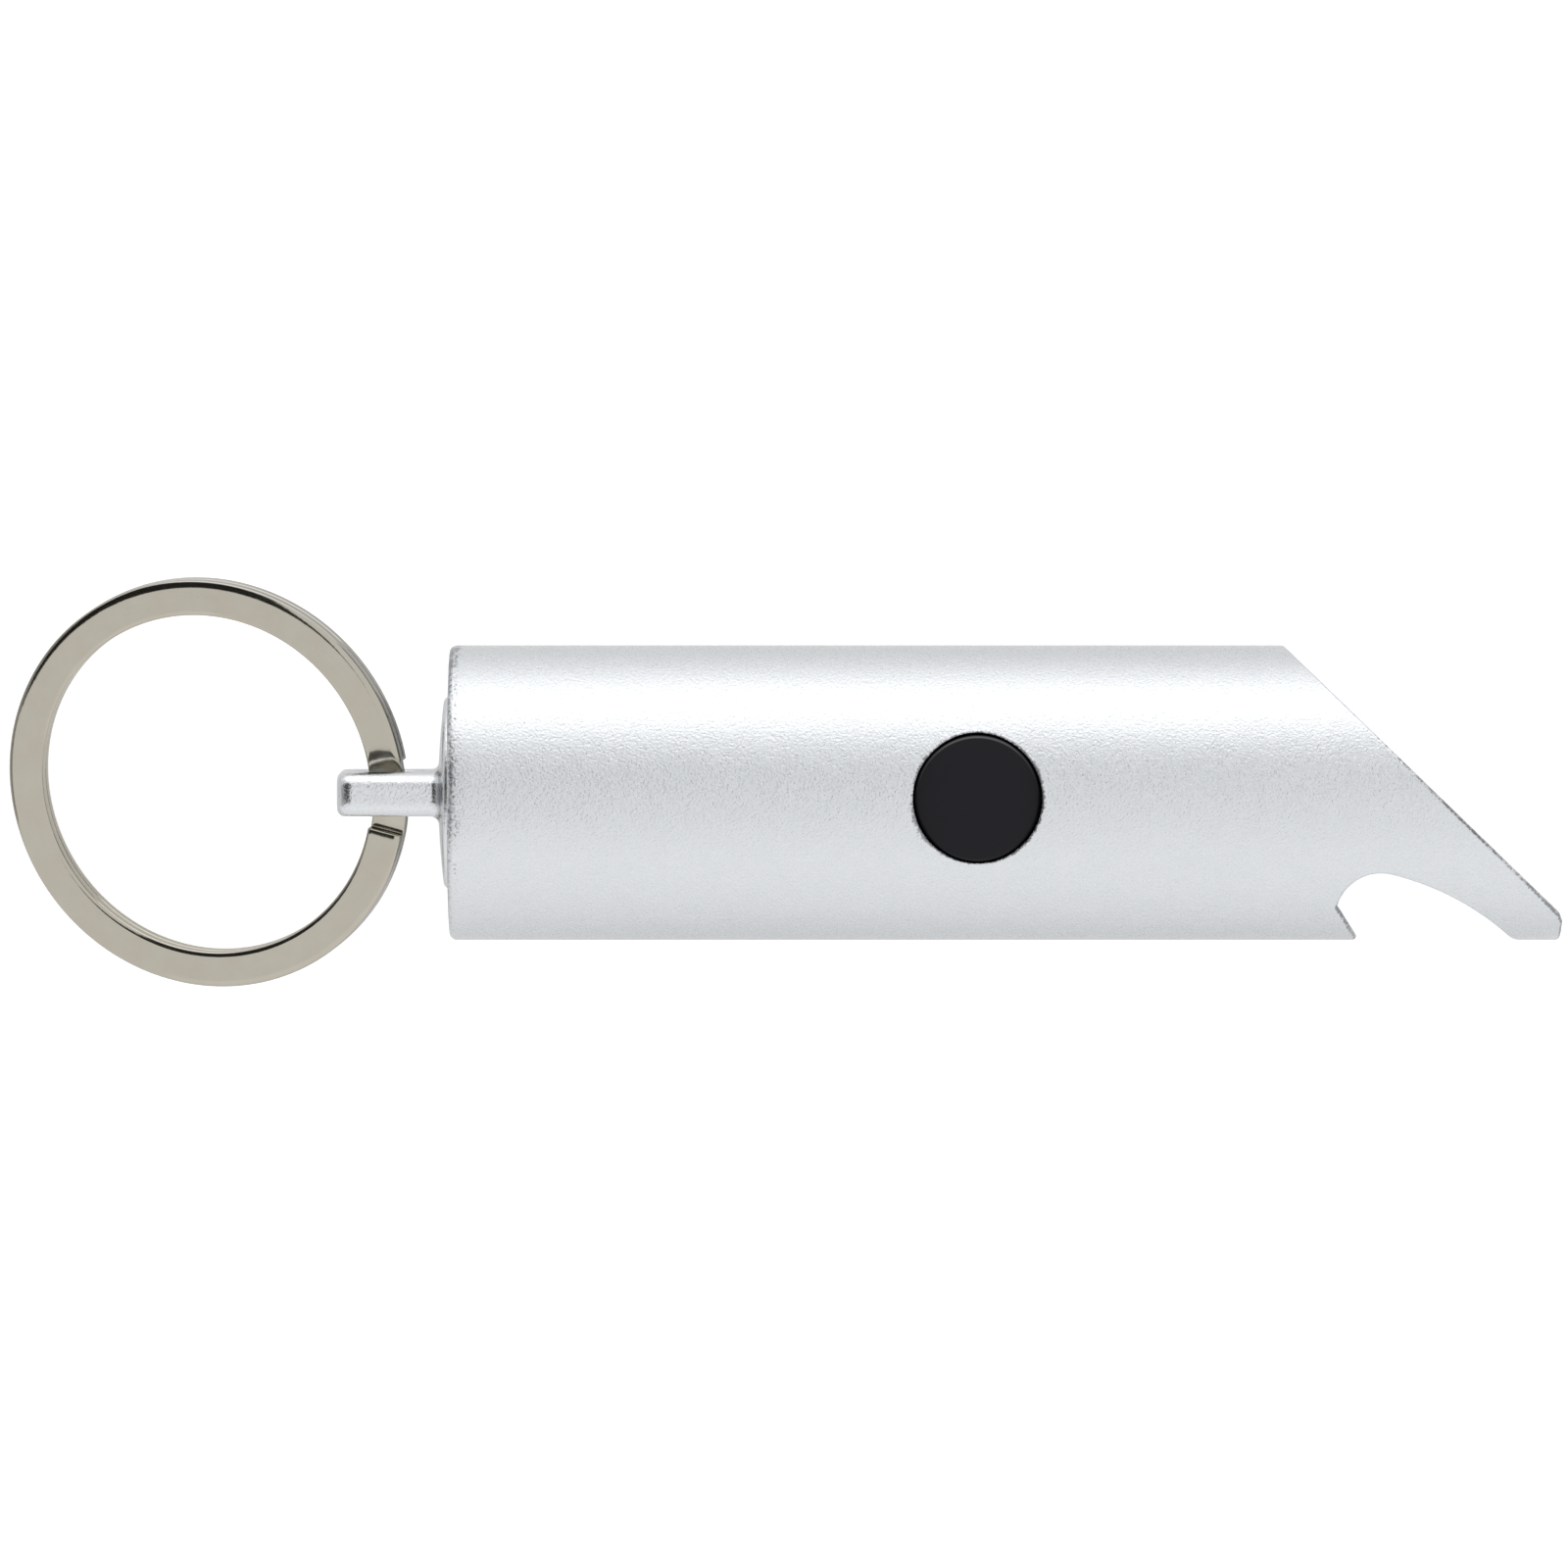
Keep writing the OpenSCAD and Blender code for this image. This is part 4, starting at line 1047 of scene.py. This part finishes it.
def make_split_ring():
    """Two turns of flat wire. One outline is spun from row to row, and each row is then set to
    its place on the coil, with the upper turn rounded above and the lower one below."""
    bm = bmesh.new()
    over = bm.verts.layers.float_vector.new("over")
    under = bm.verts.layers.float_vector.new("under")
    row_of = bm.verts.layers.int.new("row")
    dull = bm.verts.layers.float.new(DULL)
    upper = wire_outline(TUCKED_EDGE, OUTER_SHOULDER, INNER_SHOULDER, TUCKED_EDGE)
    lower = wire_outline(OUTER_SHOULDER, TUCKED_EDGE, TUCKED_EDGE, INNER_SHOULDER)
    for a, b in zip(upper, lower):
        vert = bm.verts.new((RING_MEAN_R + a.x, 0, a.y))
        vert[over], vert[under] = a, b
        vert[dull] = 1 if a.x > RING_WIDTH / 2 - 0.05 else 0
    # Each row is an angle and a level, from 1 on the upper turn to -1 on the lower one
    start, turn_arc = RING_STEP / 2, 360 - RING_STEP
    rows = [(start + turn_arc * k / TURN_ROWS, 1) for k in range(TURN_ROWS + 1)]
    for k in range(1, STEP_ROWS + 1):
        angle = 360 - start + RING_STEP * k / STEP_ROWS
        rows.append((angle, math.cos(math.pi * k / STEP_ROWS)))
    rows += [(start + turn_arc * k / TURN_ROWS, -1) for k in range(1, TURN_ROWS + 1)]
    edges = bm.faces.new(bm.verts[:]).edges[:]
    for row in range(1, len(rows)):
        made = bmesh.ops.spin(
            bm, geom=edges, cent=(0, 0, 0), axis=(0, 0, -1), angle=math.radians(1), steps=1
        )["geom_last"]
        edges = [g for g in made if isinstance(g, bmesh.types.BMEdge)]
        for vert in {v for e in edges for v in e.verts}:
            vert[row_of] = row
    bmesh.ops.contextual_create(bm, geom=edges)
    for vert in bm.verts:
        angle, level = rows[vert[row_of]]
        share = (1 + level) / 2
        point = Vector(vert[over]) * share + Vector(vert[under]) * (1 - share)
        out = polar(-angle, RING_MEAN_R + point.x)
        vert.co = (out.x, out.y, RING_RISE * level + point.y)
    bmesh.ops.recalc_face_normals(bm, faces=bm.faces)
    ends = [f for f in bm.faces if len(f.verts) > 4]
    rim = [e for f in ends for e in f.edges]
    bmesh.ops.bevel(
        bm, geom=rim, offset=RING_END_EDGE, segments=3, profile=0.5, affect="EDGES", material=-1
    )
    bmesh.ops.transform(bm, matrix=Matrix.Translation((-REAR, 0, 0)) @ RING_PLACE, verts=bm.verts)
    return piece(
        bm, "split_ring_wire", "split_ring", NICKEL, "ring_nickel", "split_ring",
        sharp=40, weighted=True,
    )


# ---------------------------------------------------------------- small turned pieces


def make_button():
    """Crowned button with a flange that holds it in the barrel and a pusher under it. Its rim
    carries a painted highlight where it faces +Y, towards the strip light."""
    top, rim, radius, edge = 8.3, 8.16, 3.72, 0.2
    crown = (radius**2 + (top - rim) ** 2) / (2 * (top - rim))
    flange_low, flange_high, flange_r, flange_bevel = 3.3845, 4.1845, 4.3, 0.1
    pusher_low, pusher_r, pusher_bevel = flange_low - 0.45, 1.5, 0.05
    spread = radius - edge

    def face(out):
        return top - crown + math.sqrt(crown**2 - out**2)

    outline = [(top, 0)]
    outline += [(face(out), out) for out in (spread * k / 10 for k in range(1, 11))]
    for k in range(1, 9):
        a = math.pi / 2 * k / 8
        outline.append((face(spread) - edge * (1 - math.cos(a)), spread + edge * math.sin(a)))
    outline += [(flange_high, radius), (flange_high, flange_r - flange_bevel)]
    outline += [(flange_high - flange_bevel, flange_r), (flange_low + flange_bevel, flange_r)]
    outline += [(flange_low, flange_r - flange_bevel), (flange_low, pusher_r)]
    outline += [(pusher_low + pusher_bevel, pusher_r), (pusher_low, pusher_r - pusher_bevel)]
    outline += [(pusher_low, 0)]
    bm = bmesh.new()
    lathe(bm, outline, steps=128, upright=True)
    wear_and_light = bm.verts.layers.float.new(WEAR_AND_LIGHT)
    # Painted highlight on the rim's rounding, strongest where it faces +Y
    for vert in bm.verts:
        out = Vector((vert.co.x - BUTTON, vert.co.y))
        if spread < out.length < radius and vert.co.z > flange_high:
            share = (out.length - spread) / edge
            vert[wear_and_light] = math.sin(math.pi * share) ** 3 * max(0, out.y / out.length)
    return piece(bm, "push_button", "button", BUTTON_RUBBER, "button", "button", sharp=50)


def make_window():
    """Clear disc on its ledge in the front bore."""
    gap, edge = 0.02, 0.08
    low, high, radius = WINDOW_REAR + gap, WINDOW_FRONT, WINDOW_BORE_R - gap
    outline = [(low, 0), (low, radius - edge), (low + edge, radius)]
    outline += [(high - edge, radius), (high, radius - edge), (high, 0)]
    bm = bmesh.new()
    lathe(bm, outline, steps=128)
    return piece(bm, "window_disc", "barrel", CLEAR_ACRYLIC, "window", "front_window", sharp=20)


def make_snap_dome():
    """Shallow dome of thin sheet, which flattens under the plunger when the button goes down."""
    dome_low, dome_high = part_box("switch_dome")
    floor, top, radius = dome_low.z / MM, dome_high.z / MM, (dome_high.x - dome_low.x) / 2 / MM
    sheet = 0.1
    rise = top - floor - sheet
    curve = (radius**2 + rise**2) / (2 * rise)
    outline = []
    for reach, steps in ((curve + sheet / 2, range(11)), (curve - sheet / 2, range(10, -1, -1))):
        for k in steps:
            out = radius * k / 10
            outline.append((top - curve - sheet / 2 + math.sqrt(reach**2 - out**2), out))
    bm = bmesh.new()
    lathe(bm, outline, steps=96, upright=True)
    dome = piece(bm, "snap_dome", "barrel", SWITCH_STEEL, "switch_steel", "switch_dome")
    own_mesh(dome)


make_barrel()
make_end_cap()
make_split_ring()
make_button()
make_window()
make_snap_dome()

# ---------------------------------------------------------------- CAD nodes that stay

CAD_FINISHES = {
    "cap_o_ring": SEAL_RUBBER,
    "battery_spring": SPRING_WIRE,
    "cell_1": CELL_STEEL,
    "cell_2": CELL_STEEL,
    "cell_3": CELL_STEEL,
    "battery_sleeve": SLEEVE_FILM,
    "cell_contact": BRASS,
    "ground_contact": BRASS,
    "carrier_base": CARRIER_PLASTIC,
    "carrier_cover": CARRIER_PLASTIC,
    "circuit_board": BOARD_LAMINATE,
    "switch_housing": SWITCH_PLASTIC,
    "switch_cover": SWITCH_STEEL,
    "switch_plunger": SWITCH_PLASTIC,
    "switch_terminals": TINNED,
    "resistor": RESISTOR_GLASS,
    "led_body": CLEAR_EPOXY,
    "led_leads": TINNED,
    "led_die": PHOSPHOR,
    "led_holder": HOLDER_PLASTIC,
}
for node, finish in CAD_FINISHES.items():
    part = frame["nodes"][node]
    if not part.material_slots:
        part.data.materials.append(finish)
    for slot in part.material_slots:
        slot.material = finish

# ---------------------------------------------------------------- studio


def background_level(tree, other, camera, gloss):
    """Strength of a background: one for the camera, one for gloss and clear pieces, and one for
    the light on the object."""
    rays = add(tree, "ShaderNodeLightPath").outputs
    through = add(
        tree,
        "ShaderNodeMath",
        {0: rays["Is Glossy Ray"], 1: rays["Is Transmission Ray"]},
        operation="MAXIMUM",
    )
    mirrored = add(
        tree,
        "ShaderNodeMapRange",
        {"Value": through.outputs["Value"], "To Min": other, "To Max": gloss},
    )
    seen = add(
        tree,
        "ShaderNodeMath",
        {0: rays["Is Camera Ray"], 1: camera - other, 2: mirrored.outputs["Result"]},
        operation="MULTIPLY_ADD",
    )
    return seen.outputs["Value"]


def make_world():
    world = bpy.data.worlds.new("white studio")
    bpy.context.scene.world = world
    world.use_nodes = True
    tree = world.node_tree
    tree.nodes.clear()
    level = background_level(tree, other=0.8, camera=1.0, gloss=1.0)
    light = add(tree, "ShaderNodeBackground", {"Color": (1, 1, 1, 1), "Strength": level})
    add(tree, "ShaderNodeOutputWorld", {"Surface": light.outputs["Background"]})


def make_floor():
    """White satin paper. It glows a little for the camera and in gloss, which shows it white
    with the object's shadow kept."""
    bm = bmesh.new()
    bmesh.ops.create_grid(bm, x_segments=1, y_segments=1, size=3)
    bmesh.ops.translate(bm, verts=bm.verts, vec=(0, 0, cad_low.z - 0.02 * MM))
    mesh = to_mesh(bm, "floor")
    floor = in_scene("floor", mesh)
    material, tree, shader, _ = new_material("white_paper_sweep")
    shader.inputs["Base Color"].default_value = (0.8, 0.8, 0.8, 1)
    shader.inputs["Roughness"].default_value = 0.22
    shader.inputs["Emission Color"].default_value = (1, 1, 1, 1)
    glow = background_level(tree, other=0.0, camera=0.6, gloss=0.22)
    tree.links.new(glow, shader.inputs["Emission Strength"])
    mesh.materials.append(material)


def direction(azimuth, elevation):
    """Unit vector towards an azimuth, counted from +X, and an elevation in degrees."""
    a, e = math.radians(azimuth), math.radians(elevation)
    return Vector((math.cos(a) * math.cos(e), math.sin(a) * math.cos(e), math.sin(e)))


def softbox(name, aim, distance, size, radiance, azimuth, elevation):
    """Area light of a plain radiance, aimed at a point from a direction in degrees, with its
    distance and size in metres."""
    data = bpy.data.lights.new(name, "AREA")
    data.shape = "RECTANGLE"
    data.size, data.size_y = size
    data.energy = radiance * math.pi * size[0] * size[1]
    lamp = in_scene(name, data)
    back = direction(azimuth, elevation)
    lamp.location = aim + back * distance
    lamp.rotation_euler = back.to_track_quat("Z", "Y").to_euler()


def card(name, aim, distance, size, azimuth, elevation, colour):
    """Card that only gloss shows, which draws the darker lines along polished edges."""
    bm = bmesh.new()
    bmesh.ops.create_grid(bm, x_segments=1, y_segments=1, size=0.5)
    bmesh.ops.scale(bm, vec=(size[0], size[1], 1), verts=bm.verts)
    back = direction(azimuth, elevation)
    turn = back.to_track_quat("Z", "Y").to_matrix().to_4x4()
    place = Matrix.Translation(aim + back * distance) @ turn
    bmesh.ops.transform(bm, matrix=place, verts=bm.verts)
    mesh = to_mesh(bm, name)
    material, _, shader, _ = new_material(name)
    shader.inputs["Base Color"].default_value = linear(colour)
    shader.inputs["Roughness"].default_value = 0.9
    mesh.materials.append(material)
    obj = in_scene(name, mesh)
    obj.visible_camera = obj.visible_diffuse = False
    obj.visible_shadow = obj.visible_transmission = False


make_world()
make_floor()
middle = (cad_low + cad_high) / 2
softbox("strip beside the barrel", middle, 0.5, (0.8, 0.46), 0.84, 90, 13)
softbox("fill on the other side", middle, 0.6, (0.9, 0.4), 0.08, -90, 34)
card("black card behind the ring", middle, 0.6, (0.57, 0.5), 165, 44, "#202020")
card("black card before the tip", middle, 0.6, (0.4, 0.3), 34, 36, "#202020")
card("grey card low behind the ring", middle, 0.6, (0.5, 0.36), 180, 6, "#b8b8b8")

# Camera above the barrel, looking down a little from the button's far side
CAMERA_TARGET = Vector((-11.45, 0.515, 0)) * MM
CAMERA_DISTANCE = 900 * MM
CAMERA_TILT = math.radians(2.36)
VIEW_WIDTH = 93.57 * MM
camera = bpy.data.cameras.new("camera")
camera.sensor_width = 36
camera.lens = camera.sensor_width * CAMERA_DISTANCE / VIEW_WIDTH
camera.clip_start, camera.clip_end = 0.01, 20
holder = in_scene("camera", camera)
upwards = Vector((0, math.sin(CAMERA_TILT), math.cos(CAMERA_TILT)))
holder.location = CAMERA_TARGET + CAMERA_DISTANCE * upwards
holder.rotation_euler = (-CAMERA_TILT, 0, 0)
bpy.context.scene.camera = holder
bpy.context.scene.view_settings.view_transform = "Standard"

bpy.context.view_layer.update()
